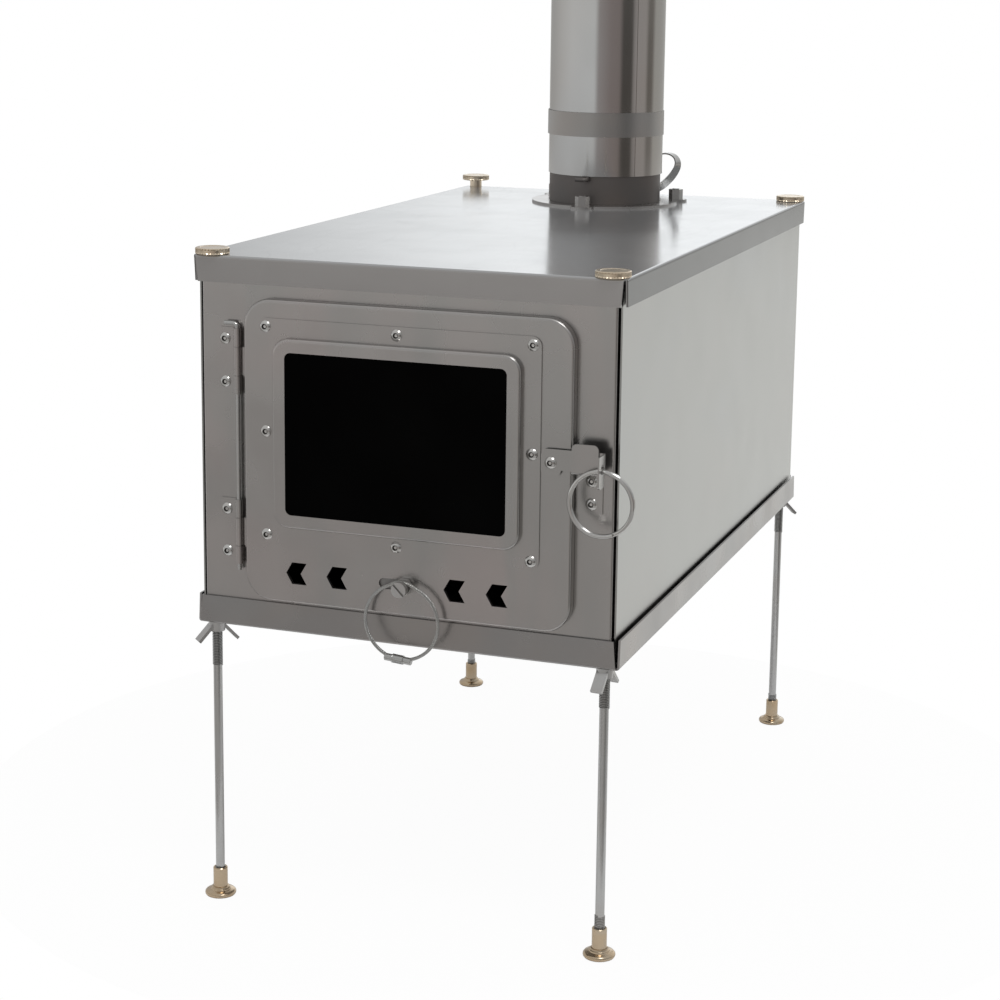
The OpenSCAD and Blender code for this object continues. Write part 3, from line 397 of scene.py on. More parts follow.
def metal(name, colour, warm, cool, smooth, rough, stretch=(1, 1, 1), fineness=900.0, size=14.0,
        grain=0.15, wave=0.0, wave_size=9.0, scratch=0.0, draw=(1, 1, 1), metallic=1.0, rim_shades=None):
    made = new_material(name)
    tree = made.node_tree
    place = add(tree, "TexCoord").outputs["Object"]
    cloud = add(tree, "Group", node_tree=heat_cloud, inputs={
        "Vector": place, "Size": size, "Draw": draw,
        "Colour": (*colour, 1), "Warm": (*warm, 1), "Cool": (*cool, 1)})
    surface = add(tree, "Group", node_tree=sheet_grain, inputs={
        "Vector": place, "Stretch": stretch, "Fineness": fineness,
        "Smooth": smooth, "Rough": rough, "Wave": wave_size})
    roughness = surface.outputs["Roughness"]
    if scratch:
        marks = add(tree, "Group", node_tree=scuffs, inputs={"Vector": place, "Stretch": stretch})
        worn = add(tree, "Math", {0: marks.outputs["Mask"], 1: scratch}, operation="MULTIPLY")
        rougher = add(tree, "Math", {0: roughness, 1: worn.outputs[0]}, operation="ADD")
        roughness = rougher.outputs[0]
    coat = cloud.outputs["Color"]
    # Painted shade: the rims are blended into darker tints, the front rim darker and warmer, the
    # side rims much darker.
    if rim_shades:
        spot = add(tree, "SeparateXYZ", {0: place}).outputs
        outward = add(tree, "Math", {0: spot["X"]}, operation="ABSOLUTE").outputs[0]
        turns = ((spot["Z"], FRONT_RIM_TURN), (outward, SIDE_RIM_TURN))
        for (reach, (inner, outer)), rim_shade in zip(turns, rim_shades):
            on_shaded_rim = add(tree, "MapRange", {0: reach, "From Min": inner, "From Max": outer})
            coat = blend(tree, on_shaded_rim.outputs["Result"], coat, (*rim_shade, 1))
    waved = add(tree, "Bump", {
        "Height": surface.outputs["Wave"], "Strength": 1.0, "Distance": wave * MM})
    bump = add(tree, "Bump", {
        "Height": surface.outputs["Height"], "Strength": grain,
        "Distance": GRAIN_DEPTH, "Normal": waved.outputs[0]})
    show_shader(tree, add(tree, "BsdfPrincipled", {
        "Base Color": coat, "Metallic": metallic, "Roughness": roughness,
        "Normal": bump.outputs[0]}))
    return made


# %% Steels and brass
front_steel = metal("front_steel", (0.405, 0.392, 0.382), (0.43, 0.395, 0.385),
    (0.368, 0.370, 0.362), 0.22, 0.31, stretch=(1, 1, 0.08), fineness=1600, grain=0.02,
    wave=0.4, wave_size=7, size=18, draw=(2.2, 1, 0.35))
tray_steel = metal("tray_steel", (0.33, 0.32, 0.315), (0.34, 0.315, 0.30), (0.31, 0.31, 0.31),
    0.24, 0.33, stretch=(0.08, 0.08, 1), fineness=1600, grain=0.02, wave=0.3, size=18)
# Painted shade: the air slide's plate and its guides, which lie behind the door, get a darker steel
# standing in for the shade there.
inner_shade_steel = metal("inner_shade_steel", (0.26, 0.255, 0.25), (0.27, 0.25, 0.235), (0.25, 0.25, 0.25),
    0.34, 0.42, stretch=(0.1, 1, 1), grain=0.25, size=24)
side_steel = metal("side_steel", (0.358, 0.36, 0.348), (0.358, 0.355, 0.343),
    (0.355, 0.36, 0.355), 0.22, 0.24, stretch=(1, 0.08, 1), fineness=1600, grain=0.015,
    wave=0.05, wave_size=5, draw=(1, 0.6, 1.2))
# Painted shade on the lid's rims: the front rim darker and warmer, the side rims much darker.
lid_steel = metal("lid_steel", (0.40, 0.405, 0.41), (0.395, 0.40, 0.405), (0.40, 0.41, 0.42),
    0.13, 0.17, stretch=(1, 0.08, 1), fineness=1600, grain=0.015, wave=0.08, wave_size=4,
    scratch=0.03, metallic=0.72, rim_shades=((0.325, 0.315, 0.308), (0.09, 0.09, 0.088)))
pipe_steel = metal("pipe_steel", (0.43, 0.42, 0.41), (0.42, 0.395, 0.375), (0.42, 0.425, 0.43),
    0.11, 0.15, stretch=(1, 1, 0.08), fineness=1600, grain=0.015, wave=0.25, wave_size=14,
    draw=(1, 1, 0.3))
band_steel = metal("band_steel", (0.34, 0.33, 0.32), (0.35, 0.325, 0.31), (0.33, 0.33, 0.33),
    0.30, 0.38, stretch=(1, 1, 0.2), grain=0.2, size=30)
# Painted shade: the flue collar and the damper's plate and shaft get a dark steel standing in for
# the shade they lie in.
shade_steel = metal("shade_steel", (0.155, 0.143, 0.138), (0.165, 0.143, 0.13),
    (0.145, 0.142, 0.14), 0.46, 0.56, stretch=(1, 1, 0.2), grain=0.3, size=30)
grate_steel = metal("grate_steel", (0.30, 0.29, 0.28), (0.31, 0.28, 0.26), (0.29, 0.29, 0.29),
    0.32, 0.42, stretch=(1, 0.1, 1), grain=0.3)
rod_steel = metal("rod_steel", (0.48, 0.48, 0.475), (0.46, 0.45, 0.435), (0.49, 0.495, 0.495),
    0.20, 0.30, stretch=(1, 1, 0.1), fineness=1500, grain=0.2, size=60)
# Painted shade: the threads are drawn in a steel half as bright as the rod, standing in for the
# shade in their grooves.
thread_shade_steel = metal("thread_shade_steel", (0.24, 0.24, 0.235), (0.25, 0.235, 0.22),
    (0.24, 0.245, 0.245), 0.24, 0.34, fineness=1500, grain=0.2, size=60)
screw_steel = metal("screw_steel", (0.57, 0.565, 0.55), (0.55, 0.53, 0.51), (0.59, 0.59, 0.58),
    0.14, 0.22, fineness=1800, grain=0.1, size=120, scratch=0.05)
ring_steel = metal("ring_steel", (0.54, 0.535, 0.525), (0.52, 0.51, 0.49), (0.56, 0.56, 0.55),
    0.08, 0.13, fineness=1800, grain=0.1, size=90, scratch=0.05)
cast_steel = metal("cast_steel", (0.47, 0.465, 0.46), (0.45, 0.435, 0.42), (0.49, 0.49, 0.485),
    0.30, 0.42, fineness=1200, grain=0.5, size=90)
cable_steel = metal("cable_steel", (0.45, 0.45, 0.44), (0.44, 0.43, 0.41), (0.45, 0.46, 0.46),
    0.22, 0.32, fineness=1500, grain=0.2, size=60)
# Painted shade: a near-black steel for screw sockets and the cable's core, standing in for the shade
# in those hollows.
painted_shade_dark = metal("painted_shade_dark", (0.07, 0.066, 0.062), (0.08, 0.07, 0.065),
    (0.065, 0.065, 0.065), 0.50, 0.60, fineness=1800, grain=0.3, size=150)
pale_brass = metal("pale_brass", (0.70, 0.60, 0.465), (0.68, 0.55, 0.41), (0.71, 0.63, 0.51),
    0.22, 0.32, fineness=1600, grain=0.15, size=80, scratch=0.06)
foot_brass = metal("foot_brass", (0.53, 0.42, 0.295), (0.50, 0.37, 0.235), (0.51, 0.445, 0.35),
    0.16, 0.26, fineness=1600, grain=0.15, size=110, scratch=0.06)
print("metals:", [item.name for item in bpy.data.materials if item.use_nodes])

# %% [markdown]
# ## Glass and gasket
# The pane is heat-proof glass with the dark firebox behind it. It is not see-through here: its
# colour is painted near black, as the firebox's shade seen through it, with a clean gloss. Its low
# specular level keeps the white room out of it. The gasket is a flat tape woven of glass fibre: two
# crossed wave textures make its threads.

# %% Glass and gasket finishes
window_black = new_material("window_black")
tree = window_black.node_tree
place = add(tree, "TexCoord").outputs["Object"]
breath = add(tree, "TexNoise", {"Vector": place, "Scale": 22.0, "Detail": 4.0})
show_shader(tree, add(tree, "BsdfPrincipled", {
    "Base Color": ramp(tree, breath.outputs[0], [(0.4, 0.0003), (0.7, 0.0008)]),
    "Roughness": ramp(tree, breath.outputs[0], [(0.4, 0.05), (0.7, 0.12)]),
    "Specular IOR Level": 0.03, "IOR": 1.45}))

gasket_tape = new_material("gasket_tape")
tree = gasket_tape.node_tree
place = add(tree, "TexCoord").outputs["Object"]
threads = [add(tree, "TexWave", {"Vector": place, "Scale": 500.0, "Distortion": 0.6},
    wave_type="BANDS", bands_direction=way).outputs["Fac"] for way in ("X", "Z")]
woven = add(tree, "Math", {0: threads[0], 1: threads[1]}, operation="MAXIMUM").outputs[0]
bump = add(tree, "Bump", {"Height": woven, "Strength": 0.8, "Distance": 0.1 * MM})
show_shader(tree, add(tree, "BsdfPrincipled", {
    "Base Color": ramp(tree, woven, [(0.2, 0.006), (0.9, 0.03)]), "Roughness": 0.85,
    "Normal": bump.outputs[0]}))
print("window and gasket finishes made")

# %% [markdown]
# ## Pieces that are made here
# A few pieces are too fine for the imported model: threaded rods, knurled nuts, feet, screws, the
# split ring, the stranded cable and the twisted damper handle. Most of them are turned or wound in
# real life, so here an outline is spun round an axis, which is what a lathe does. Each new piece
# names the imported node that it stands for, which hides that node, and the body that carries it.
# Its finish comes first, and a second, darker one, which is painted shade, can go on some of its
# faces.

# %% Piece helpers
MERGE_WITHIN = 0.001 * MM
# A piece's second finish, on some of its faces, is a darker steel painted as shade: in the thread
# grooves, the screw sockets and between the cable's strands.
SHADE_SLOT = 1


def outline(shape, points, closed=False):
    """Join points, in metres, with edges, and give back the corners and the edges."""
    corners = [shape.verts.new(point) for point in points]
    pairs = list(zip(corners, corners[1:] + corners[:1]))
    return corners + [shape.edges.new(pair) for pair in (pairs if closed else pairs[:-1])]


def turned(profile, steps=48):
    """Spin a profile of (radius, height), in millimetres, round Z into a closed shape."""
    shape = bmesh.new()
    line = outline(shape, [(radius * MM, 0, height * MM) for radius, height in profile])
    bmesh.ops.spin(shape, geom=line, cent=(0, 0, 0), axis=(0, 0, 1), angle=math.tau,
        steps=steps, use_merge=True)
    bmesh.ops.remove_doubles(shape, verts=shape.verts, dist=MERGE_WITHIN)
    return shape


def cap(shape, *ends):
    """Close each end of a wound shape with one face."""
    for end in ends:
        shape.faces.new([item for item in end if isinstance(item, bmesh.types.BMVert)])


def rotate(shape, matrix):
    bmesh.ops.rotate(shape, verts=shape.verts, cent=(0, 0, 0), matrix=matrix)


def move(shape, distance):
    bmesh.ops.translate(shape, verts=shape.verts, vec=distance)


def add_piece(shape, name, finish, body, sharp=35, shade_finish=None):
    """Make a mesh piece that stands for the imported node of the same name."""
    bmesh.ops.recalc_face_normals(shape, faces=shape.faces)
    mesh = as_mesh(shape, name + "_fine")
    mesh.polygons.foreach_set("use_smooth", [True] * len(mesh.polygons))
    mesh.set_sharp_from_angle(angle=math.radians(sharp))
    for coat in filter(None, (finish, shade_finish)):
        mesh.materials.append(coat)
    piece = add_object(name + "_fine", mesh)
    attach(piece, body)
    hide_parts(name)
    return piece


def middle(node):
    low, high = (Vector(corner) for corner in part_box(node))
    return (low + high) / 2


# %% [markdown]
# ### Threaded leg rods
# The legs are long studs: a plain drawn shank with a rolled thread near the foot, under the tray
# and inside the thumb nut. Rolling squeezes metal outwards, so the crests stand a little prouder
# than the shank. A thread is a helix, and the spin operator winds one when its section also
# climbs a little at every step. The section starts just inside the shank, so nothing is open.

# %% Rods
CORNERS = ("front_left", "front_right", "rear_left", "rear_right")
SHANK_RADIUS, CREST_RADIUS, PITCH, STEPS_A_TURN = 2.15, 2.5, 0.8, 18
ROOT_SUNK, ROOT_HALF, CREST_HALF = 0.1, PITCH * 0.45, 0.06
THREAD_BELOW_TRAY = dict(zip(CORNERS, (22.5, 19.7, 21.0, 21.0)))
THREAD_OVER_FOOT = dict(zip(CORNERS, (1.0, 6.5, 3.0, 4.0)))
THREAD_OVER_TRAY, THREAD_UNDER_LID, END_CHAMFER = 5.0, 14.0, 0.4


def wind_thread(shape, low, high):
    """Wind a ridge round the Z axis between two heights, in millimetres."""
    plain = len(shape.faces)
    root = SHANK_RADIUS - ROOT_SUNK
    section = [(root, -ROOT_HALF), (CREST_RADIUS, -CREST_HALF), (CREST_RADIUS, CREST_HALF),
        (root, ROOT_HALF)]
    start = outline(shape, [(radius * MM, 0, (low + ROOT_HALF + height) * MM)
        for radius, height in section], closed=True)
    turns = (high - low - 2 * ROOT_HALF) / PITCH
    wound = bmesh.ops.spin(shape, geom=start, cent=(0, 0, 0), axis=(0, 0, 1),
        dvec=(0, 0, PITCH / STEPS_A_TURN * MM), angle=math.tau * turns,
        steps=round(STEPS_A_TURN * turns))
    cap(shape, start, wound["geom_last"])
    shape.faces.ensure_lookup_table()
    # The thread's faces take the darker finish, painted shade of the grooves.
    for face in shape.faces[plain:]:
        face.material_index = SHADE_SLOT


tray_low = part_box("bottom_tray")[0][2] / MM
lid_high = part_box("lid_plate")[1][2] / MM
for corner in CORNERS:
    low, high = (point[2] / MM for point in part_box("leg_rod_" + corner))
    foot_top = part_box("foot_" + corner)[1][2] / MM
    rod = turned([(0, low), (SHANK_RADIUS - END_CHAMFER, low), (SHANK_RADIUS, low + END_CHAMFER),
        (SHANK_RADIUS, high - END_CHAMFER), (SHANK_RADIUS - END_CHAMFER, high), (0, high)])
    wind_thread(rod, low + END_CHAMFER, foot_top + THREAD_OVER_FOOT[corner])
    wind_thread(rod, tray_low - THREAD_BELOW_TRAY[corner], tray_low + THREAD_OVER_TRAY)
    wind_thread(rod, lid_high - THREAD_UNDER_LID, high - END_CHAMFER)
    spot = middle("leg_rod_" + corner)
    move(rod, (spot.x, spot.y, 0))
    add_piece(rod, "leg_rod_" + corner, rod_steel, "stove_body", shade_finish=thread_shade_steel)
print("rods made for", CORNERS)

# %% [markdown]
# ### Knurled thumb nuts
# Each thumb nut has a flat round head, knurled so that fingers grip it, over a long sleeve. A
# knurling tool presses two crossing sets of grooves into the rim. Moving every second corner of a
# fine grid inwards, like the dark squares of a chessboard, gives those diamonds.

# %% Thumb nuts
NEAR = 0.01


def knurl(shape, radius, low, high, steps, rows, depth):
    """Press diamonds into the band of a turned shape between two heights, in millimetres."""
    for corner in shape.verts:
        row = (corner.co.z / MM - low) / (high - low) * rows
        reach = math.hypot(corner.co.x, corner.co.y) / MM
        column = round(math.atan2(corner.co.y, corner.co.x) / math.tau * steps)
        if abs(reach - radius) < NEAR and 0.5 < row < rows - 0.5 and (column + round(row)) % 2:
            corner.co.xy *= 1 - depth / radius


def rim(radius, low, high, rows):
    """Profile points up a knurled band."""
    return [(radius, low + (high - low) * row / rows) for row in range(rows + 1)]


THUMB_RADIUS, THUMB_THICK, THUMB_SLEEVE, SLEEVE_RADIUS, SLEEVE_BORE = 8.0, 3.0, 11.5, 3.5, 2.56
THUMB_STEPS, THUMB_ROWS, THUMB_GROOVE, THUMB_BEVEL = 64, 4, 0.7, 0.3
ROOF, SLEEVE_CHAMFER, HEAD_CHAMFER = 1.0, 0.4, 0.5
DISH_RADIUS, DISH_SLOPE, DISH_DEEP = 5.8, 0.3, 0.15
knurled = (THUMB_BEVEL, THUMB_THICK - THUMB_BEVEL)
for corner in CORNERS:
    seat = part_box("thumb_nut_" + corner)[1][2] / MM - THUMB_THICK
    nut = turned([
        (0, THUMB_THICK - ROOF), (SLEEVE_BORE, THUMB_THICK - ROOF), (SLEEVE_BORE, -THUMB_SLEEVE),
        (SLEEVE_RADIUS - SLEEVE_CHAMFER, -THUMB_SLEEVE),
        (SLEEVE_RADIUS, SLEEVE_CHAMFER - THUMB_SLEEVE), (SLEEVE_RADIUS, 0),
        (THUMB_RADIUS - HEAD_CHAMFER, 0), *rim(THUMB_RADIUS, *knurled, THUMB_ROWS),
        (THUMB_RADIUS - HEAD_CHAMFER, THUMB_THICK), (DISH_RADIUS, THUMB_THICK),
        (DISH_RADIUS - DISH_SLOPE, THUMB_THICK - DISH_DEEP), (0, THUMB_THICK - DISH_DEEP)],
        steps=THUMB_STEPS)
    knurl(nut, THUMB_RADIUS, *knurled, THUMB_STEPS, THUMB_ROWS, THUMB_GROOVE)
    spot = middle("thumb_nut_" + corner)
    move(nut, (spot.x, spot.y, seat * MM))
    add_piece(nut, "thumb_nut_" + corner, pale_brass, "thumb_nut_" + corner, sharp=14)
print("thumb nuts made, radius", THUMB_RADIUS, "mm")

# %% [markdown]
# ### Feet
# A foot is a turned brass disc with a sleeve that the rod's end screws into. It has a rounded rim,
# a top that rises a little towards the middle, and two small steps where the sleeve begins, which
# catch thin rings of light. All of that is one outline, spun once.

# %% Feet
FOOT_RADIUS, FOOT_HIGH, FOOT_SLEEVE, ROD_END = 7.6, 14.2, 3.5, 3.0
# The rounded rim, as distances in from the edge and heights, and the steps, as radii and heights.
FOOT_RIM = [(1.2, 0), (0.5, 0.25), (0.1, 0.8), (0, 1.3), (0.1, 1.8), (0.5, 2.3), (1.2, 2.6)]
FOOT_STEPS = [(5.1, 2.9), (4.9, 3.0), (4.85, 3.5), (4.7, 3.7), (4.3, 3.8), (4.2, 3.9),
    (4.15, 4.3), (4.0, 4.5), (FOOT_SLEEVE, 4.6)]
BORE_CHAMFER, BEVEL_WIDE, BEVEL_HIGH = 0.3, 0.35, 0.4
for corner in CORNERS:
    foot = turned([
        (0, 0), *((FOOT_RADIUS - inset, height) for inset, height in FOOT_RIM), *FOOT_STEPS,
        (FOOT_SLEEVE, FOOT_HIGH - BEVEL_HIGH), (FOOT_SLEEVE - BEVEL_WIDE, FOOT_HIGH),
        (SLEEVE_BORE + BORE_CHAMFER, FOOT_HIGH), (SLEEVE_BORE, FOOT_HIGH - BORE_CHAMFER),
        (SLEEVE_BORE, ROD_END), (0, ROD_END)], steps=64)
    spot = middle("foot_" + corner)
    move(foot, (spot.x, spot.y, 0))
    add_piece(foot, "foot_" + corner, foot_brass, "foot_" + corner, sharp=40)
print("feet made, radius", FOOT_RADIUS, "mm")

# %% [markdown]
# ### Button-head screws
# The door, hinges and keeper are held by domed screws with a hexagon socket. The socket is painted
# dark as shade, all but a small spot in the middle of its floor. The lathe outline of such a screw
# includes its socket as a round hole; moving each of the hole's corners out to a hexagon's edge, by
# its angle, then gives the six flats.

# %% One screw
HEAD_RADIUS, HEAD_HIGH, HEAD_LAND, SOCKET_FLATS, SOCKET_DEEP = 2.75, 1.65, 0.3, 2.0, 1.0
DOME = (HEAD_RADIUS ** 2 + (HEAD_HIGH - HEAD_LAND) ** 2) / (2 * (HEAD_HIGH - HEAD_LAND))
DOME_STEPS, LIP_WIDE, SOCKET_LEDGE, DRILL_RADIUS, DRILL_DEEP = 7, 0.3, 0.1, 0.7, 0.1
SCREW_RADIUS, TIP_CHAMFER, SOCKET_SHADE_RADIUS, FLAT_TURN = 1.5, 0.3, 0.8, math.tau / 6


def button_screw(length):
    """A screw with its head towards +Z and the head's seat at height zero."""
    socket = SOCKET_FLATS / 2
    lip = socket + LIP_WIDE
    inner, outer = math.asin(lip / DOME), math.asin(HEAD_RADIUS / DOME)
    angles = [inner + step / DOME_STEPS * (outer - inner) for step in range(DOME_STEPS + 1)]
    dome = [(DOME * math.sin(angle), HEAD_HIGH - DOME + DOME * math.cos(angle))
        for angle in angles]
    floor_at = HEAD_HIGH - SOCKET_DEEP
    screw = turned([
        (0, floor_at - DRILL_DEEP), (DRILL_RADIUS, floor_at), (socket, floor_at),
        (socket, dome[0][1] - SOCKET_LEDGE), *dome, (HEAD_RADIUS, 0), (SCREW_RADIUS, 0),
        (SCREW_RADIUS, TIP_CHAMFER - length), (SCREW_RADIUS - TIP_CHAMFER, -length), (0, -length)])
    for corner in screw.verts:
        reach = math.hypot(corner.co.x, corner.co.y) / MM
        angle = math.atan2(corner.co.y, corner.co.x)
        if abs(reach - socket) < NEAR and corner.co.z > 0:
            corner.co.xy *= 1 / math.cos(angle % FLAT_TURN - FLAT_TURN / 2)
    # Painted shade: the socket's faces, all but a small spot in the middle of its floor, take the
    # dark second finish.
    for face in screw.faces:
        spot = face.calc_center_median()
        if SOCKET_SHADE_RADIUS < math.hypot(spot.x, spot.y) / MM < lip and spot.z > 0:
            face.material_index = SHADE_SLOT
    return screw


print("dome radius of a screw's head:", round(DOME, 2), "mm")

# %% Screws
# The body that carries each set, and its screws' places across the front and up from the floor.
SCREWS = {
    "hinge_screws": ("stove_body", (-88.8,), (176.1, 196.5, 257.5, 277.9)),
    "keeper_screws": ("stove_body", (90.7,), (215.1, 225.5)),
    "latch_screw": ("door", (73.4,), (233.8,)),
    "window_screws": ("door", (-65.7, -0.7, 64.3), (187.5, 236.6, 285.7)),
}
WINDOW_MIDDLE = (-0.7, 236.6)
TWIST_ACROSS, TWIST_UP = 7, 11
face_door = Matrix.Rotation(math.radians(90), 4, "X")
for name, (body, columns, rows) in SCREWS.items():
    low, high = (corner.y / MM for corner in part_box(name))
    screws = bmesh.new()
    for x, z in ((x, z) for x in columns for z in rows if (x, z) != WINDOW_MIDDLE):
        screw = button_screw(high - low - HEAD_HIGH)
        twist = math.radians(TWIST_ACROSS * x + TWIST_UP * z)
        rotate(screw, face_door @ Matrix.Rotation(twist, 4, "Z"))
        move(screw, (x * MM, (low + HEAD_HIGH) * MM, z * MM))
        mesh = as_mesh(screw, "screw")
        screws.from_mesh(mesh)
        bpy.data.meshes.remove(mesh)
    add_piece(screws, name, screw_steel, body, sharp=30, shade_finish=painted_shade_dark)
    print(name, "made")

# %% [markdown]
# ### Split ring
# The pull ring is one flat-sided wire coiled twice round, as on a bunch of keys. It runs flat for
# most of a turn, steps sideways by its own thickness, and runs flat again, so both ends meet the
# step from either side. Three spins in a row draw it: level, climbing, and level.

# %% Split ring
COIL_THICK, COIL_GAP, RING_WIRE, RING_EDGE = 1.03, 0.06, 1.9, 0.46
LEVEL_RUN, STEP_RUN, STEP_AT, DEGREES_A_STEP = 300, 56, -35, 4
ring_low, ring_high = (Vector(corner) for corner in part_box("latch_ring"))
ring_radius = (ring_high.z - ring_low.z) / 2 / MM
half, deep = RING_WIRE / 2, COIL_THICK / 2
section = [(side * (half - inset), layer * (deep - RING_EDGE + inset))
    for side, layer, inset in ((1, -1, 0), (1, 1, 0), (1, 1, RING_EDGE), (-1, 1, RING_EDGE),
    (-1, 1, 0), (-1, -1, 0), (-1, -1, RING_EDGE), (1, -1, RING_EDGE))]
ring = bmesh.new()
axis = Vector((0, 1, 0))
shift = COIL_THICK + COIL_GAP
line = outline(ring, [((ring_radius - half + across) * MM, (along - shift / 2) * MM, 0)
    for across, along in section], closed=True)
first = line
for run, climb in ((LEVEL_RUN, 0), (STEP_RUN, shift), (LEVEL_RUN, 0)):
    steps = round(run / DEGREES_A_STEP)
    line = bmesh.ops.spin(ring, geom=line, cent=(0, 0, 0), axis=axis,
        dvec=axis * climb / steps * MM, angle=math.radians(run), steps=steps)["geom_last"]
cap(ring, first, line)
turn = math.radians(-STEP_AT - LEVEL_RUN - STEP_RUN / 2)
rotate(ring, Matrix.Rotation(turn, 3, "Y"))
move(ring, (ring_low + ring_high) / 2)
add_piece(ring, "latch_ring", ring_steel, "pull_ring", sharp=50)
print("ring radius:", round(ring_radius, 2), "mm")

# %% [markdown]
# ### Stranded cable
# The loop on the air slide is wire rope: strands laid in a helix round a core, with both ends
# screwed into a barrel. It hangs on the slide's screw, so it rises a little where it passes over
# that screw. Each strand is a curve whose points follow two turns at once, once round the loop and
# many times round the core, and a bevel on the curve gives the wire its thickness.

# %% Curve helper
def curve_mesh(name, curve):
    """The mesh of a curve, as its bevel, extrusion and tilt shape it."""
    holder = add_object(name, curve)
    bpy.context.view_layer.update()
    mesh = bpy.data.meshes.new_from_object(holder)
    bpy.data.objects.remove(holder, do_unlink=True)
    return mesh


# %% Cable
STRANDS, CORE_RADIUS, STRAND_RADIUS, LAYS, POINTS_A_LAY = 6, 0.30, 0.27, 17, 14
CORE_FILL, CABLE_HALF = 0.15, 0.85
BARREL_TURN, HIDDEN_END, LOOP_SAG, LOOP_WIDER, SCREW_RISE, RISE_ANGLE = -5, 14, 1.3, 0.25, 1.0, 26
loop_low, loop_high = (Vector(corner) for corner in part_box("cable_loop"))
packed_reach = (loop_high.x - loop_low.x) / 2 / MM
loop_radius = packed_reach - CABLE_HALF + LOOP_WIDER
loop_middle = Vector(((loop_low.x + loop_high.x) / 2, (loop_low.y + loop_high.y) / 2,
    loop_high.z - (packed_reach + LOOP_SAG) * MM))


def strand_curve(count, offset, radius):
    """Lay a number of strands at one offset from the loop's centre line, as a mesh."""
    wires = bpy.data.curves.new("strands", "CURVE")
    wires.dimensions = "3D"
    wires.bevel_depth, wires.bevel_resolution, wires.use_fill_caps = radius * MM, 1, True
    points = LAYS * POINTS_A_LAY
    begin, run = BARREL_TURN - 90 + HIDDEN_END, 360 - 2 * HIDDEN_END
    for strand in range(count):
        spline = wires.splines.new("POLY")
        spline.points.add(points - 1)
        for number, point in enumerate(spline.points):
            share = number / (points - 1)
            round_loop = math.radians(begin + share * run)
            round_core = math.tau * (LAYS * share + strand / count)
            from_top = abs(math.degrees(round_loop) - 90)
            rise = SCREW_RISE * (1 + math.cos(math.pi * min(from_top / RISE_ANGLE, 1))) / 2
            reach = (loop_radius + rise + offset * math.cos(round_core)) * MM
            point.co = (*(loop_middle + Vector((reach * math.cos(round_loop),
                offset * math.sin(round_core) * MM, reach * math.sin(round_loop)))), 1)
    return curve_mesh("strands", wires)


cable = bmesh.new()
cable.from_mesh(strand_curve(1, 0, CORE_RADIUS + CORE_FILL))
# Painted shade: the core takes the dark second finish, so the gaps between the strands read dark.
for face in cable.faces:
    face.material_index = SHADE_SLOT
cable.from_mesh(strand_curve(STRANDS, CORE_RADIUS + STRAND_RADIUS, STRAND_RADIUS))
add_piece(cable, "cable_loop", cable_steel, "cable", sharp=80, shade_finish=painted_shade_dark)
print("cable loop radius:", round(loop_radius, 2), "mm")

# %% [markdown]
# ### Screw barrel
# The barrel that joins the cable's ends is a small turned tube. Its middle is knurled, as the
# thumb nuts are, and its thinner ends hide where the strands go in. It is spun upright, laid
# along the foot of the loop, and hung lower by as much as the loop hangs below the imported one.

# %% Barrel
BARREL_LONG, BARREL_RADIUS, BARREL_END_RADIUS, BARREL_KNURL = 13.2, 2.1, 1.7, 5.6
BARREL_STEPS, BARREL_ROWS, BARREL_GROOVE, BARREL_BEVEL, BARREL_CHAMFER = 32, 12, 0.25, 0.1, 0.25
edge, band = BARREL_LONG / 2, BARREL_KNURL / 2
knurled = (BARREL_BEVEL - band, band - BARREL_BEVEL)
barrel = turned([
    (0, -edge), (BARREL_END_RADIUS - BARREL_CHAMFER, -edge),
    (BARREL_END_RADIUS, BARREL_CHAMFER - edge), (BARREL_END_RADIUS, -band),
    *rim(BARREL_RADIUS, *knurled, BARREL_ROWS), (BARREL_END_RADIUS, band),
    (BARREL_END_RADIUS, edge - BARREL_CHAMFER), (BARREL_END_RADIUS - BARREL_CHAMFER, edge),
    (0, edge)], steps=BARREL_STEPS)
knurl(barrel, BARREL_RADIUS, *knurled, BARREL_STEPS, BARREL_ROWS, BARREL_GROOVE)
rotate(barrel, Matrix.Rotation(math.radians(90 - BARREL_TURN), 3, "Y"))
hang = Vector((0, 0, -(LOOP_SAG + LOOP_WIDER) * MM))
move(barrel, middle("cable_barrel") + hang)
add_piece(barrel, "cable_barrel", cable_steel, "cable", sharp=30)
print("barrel length:", BARREL_LONG, "mm")

# %% [markdown]
# ### Damper handle
# The handle is a steel strip bent into an ear with both ends round the shaft, and twisted on its
# way so that its lower run shows its flat side. A curve suits a bent strip: extruding it gives
# the strip its width, the tilt at each point gives the twist, and solidify gives the sheet.

# %% Damper handle
STRIP_WIDE, STRIP_THICK = 4.6, 0.8
# Each point of the ear: its distance from the shaft, its height over it, and the strip's twist.
EAR = [
    (-1.6, 0, 0), (0.8, -1.9, 0), (9, -6.5, -10), (16.5, -10.8, -35), (20.6, -11.0, -52),
    (25.3, -7.9, -56), (30.4, -2.6, -50), (33.9, 3.6, -32), (32.4, 9.0, -12), (27.2, 11.2, 0),
    (20.5, 9.9, 0), (10.5, 5.6, 0), (0.6, 1.9, 0),
]
strip = bpy.data.curves.new("ear", "CURVE")
strip.dimensions, strip.extrude = "3D", STRIP_WIDE / 2 * MM
spline = strip.splines.new("NURBS")
spline.points.add(len(EAR) - 1)
spline.use_cyclic_u, spline.order_u, spline.resolution_u = True, 3, 8
for point, (across, lift, twist) in zip(spline.points, EAR):
    point.co, point.tilt = (across * MM, lift * MM, 0, 1), math.radians(twist)
ear = bmesh.new()
ear.from_mesh(curve_mesh("ear", strip))
bmesh.ops.remove_doubles(ear, verts=ear.verts, dist=0.01 * MM)
bmesh.ops.recalc_face_normals(ear, faces=ear.faces)
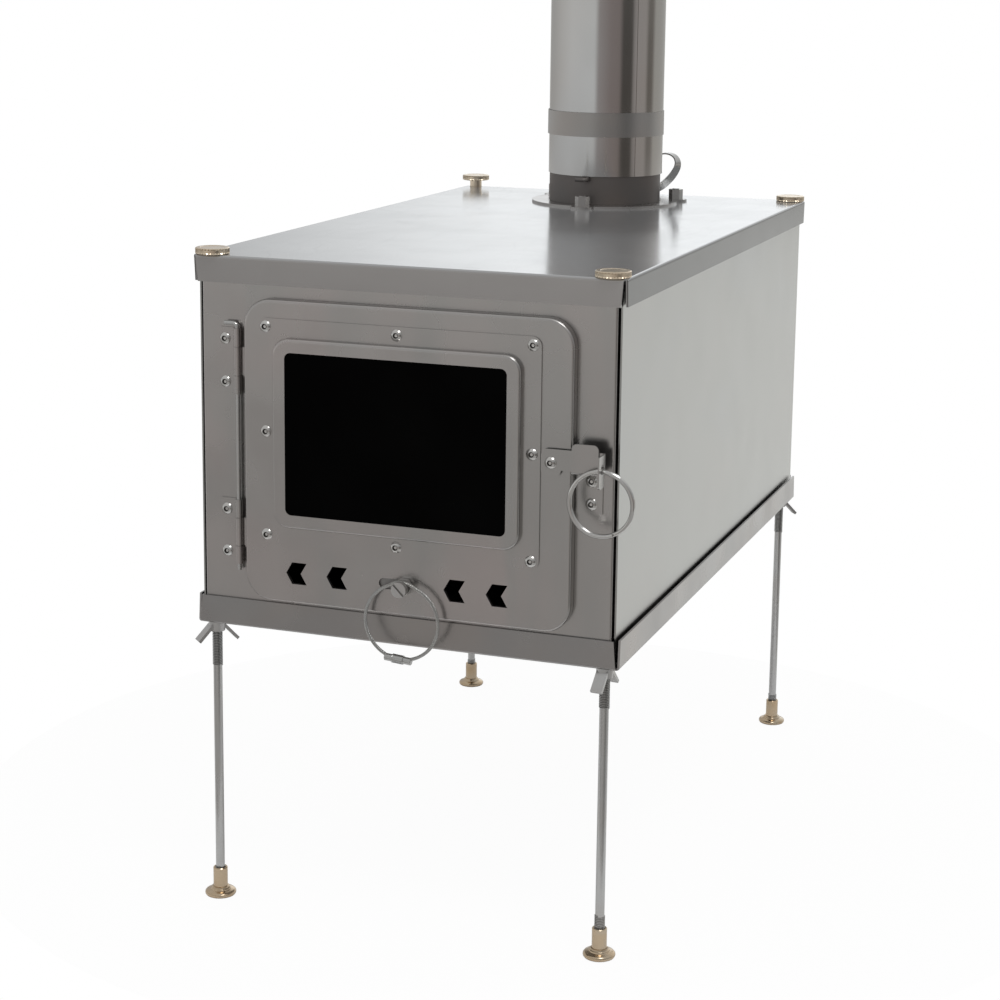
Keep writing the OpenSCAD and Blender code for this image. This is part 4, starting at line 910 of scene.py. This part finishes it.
bmesh.ops.solidify(ear, geom=ear.faces, thickness=STRIP_THICK * MM)
rotate(ear, Matrix.Rotation(math.radians(90), 3, "X"))
move(ear, (0, middle("damper_handle").y, middle("damper_shaft").z))
add_piece(ear, "damper_handle", rod_steel, "damper", sharp=40)
print("handle reach:", max(across for across, lift, twist in EAR), "mm")

# %% [markdown]
# ### Air slide's plate
# Pushed to the left, the slide has to cover all four air holes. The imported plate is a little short
# on the right for that, so its end there is moved outwards, on a copy of its mesh. Only corners
# past the last hole move, so the holes stay in line with the door's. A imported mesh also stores
# the direction in which each corner faces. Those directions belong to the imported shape, so the
# copy lets go of them, and Blender works them out from the copy's own faces.

# %% Slide plate
PLATE_LONGER, PLATE_END = 6.5, 3.0
plate = bmesh.new()
plate.from_mesh(frame["nodes"]["air_slider"].data)
bmesh.ops.remove_doubles(plate, verts=plate.verts, dist=MERGE_WITHIN)
plate_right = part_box("air_slider")[1][0]
end = [corner for corner in plate.verts if corner.co.x > plate_right - PLATE_END * MM]
bmesh.ops.translate(plate, verts=end, vec=(PLATE_LONGER * MM, 0, 0))
print("corners moved on the slide's plate:", len(end))
plate_piece = add_piece(plate, "air_slider", inner_shade_steel, "air_slide")
stored_normals = plate_piece.data.attributes.get("custom_normal")
if stored_normals:
    plate_piece.data.attributes.remove(stored_normals)
print("stored normals cleared:", bool(stored_normals))

# %% [markdown]
# ## Give each piece its finish
# The model's pieces carry one material slot each. A table of finishes and the names that they
# suit replaces the plain colours; anything not listed is front sheet. The pieces made above have
# their finish already, and the nodes that they hide need none.

# %% Assign the finishes
FINISHES = [
    (side_steel, ("side_panel", "rear_panel")),
    (lid_steel, ("lid_plate",)),
    (tray_steel, ("bottom_tray",)),
    (inner_shade_steel, ("slider_guides",)),
    (pipe_steel, ("flue_pipe",)),
    (band_steel, ("flue_band",)),
    (shade_steel, ("flue_collar", "damper_plate", "damper_shaft")),
    (grate_steel, ("fire_grate",)),
    (rod_steel, ("hinge_pin",)),
    (cast_steel, ("wing_nut", "slider_screw")),
    (screw_steel, ("hinge_nuts", "keeper_nuts", "slider_nuts", "window_nuts", "latch_nut",
        "latch_spacer")),
    (window_black, ("window_glass",)),
    (gasket_tape, ("glass_gasket",)),
]
for name, piece in frame["nodes"].items():
    finish = front_steel
    for choice, words in FINISHES:
        if any(word in name for word in words):
            finish = choice
    for slot in piece.material_slots:
        slot.material = finish
print("finished pieces:", len(frame["nodes"]))
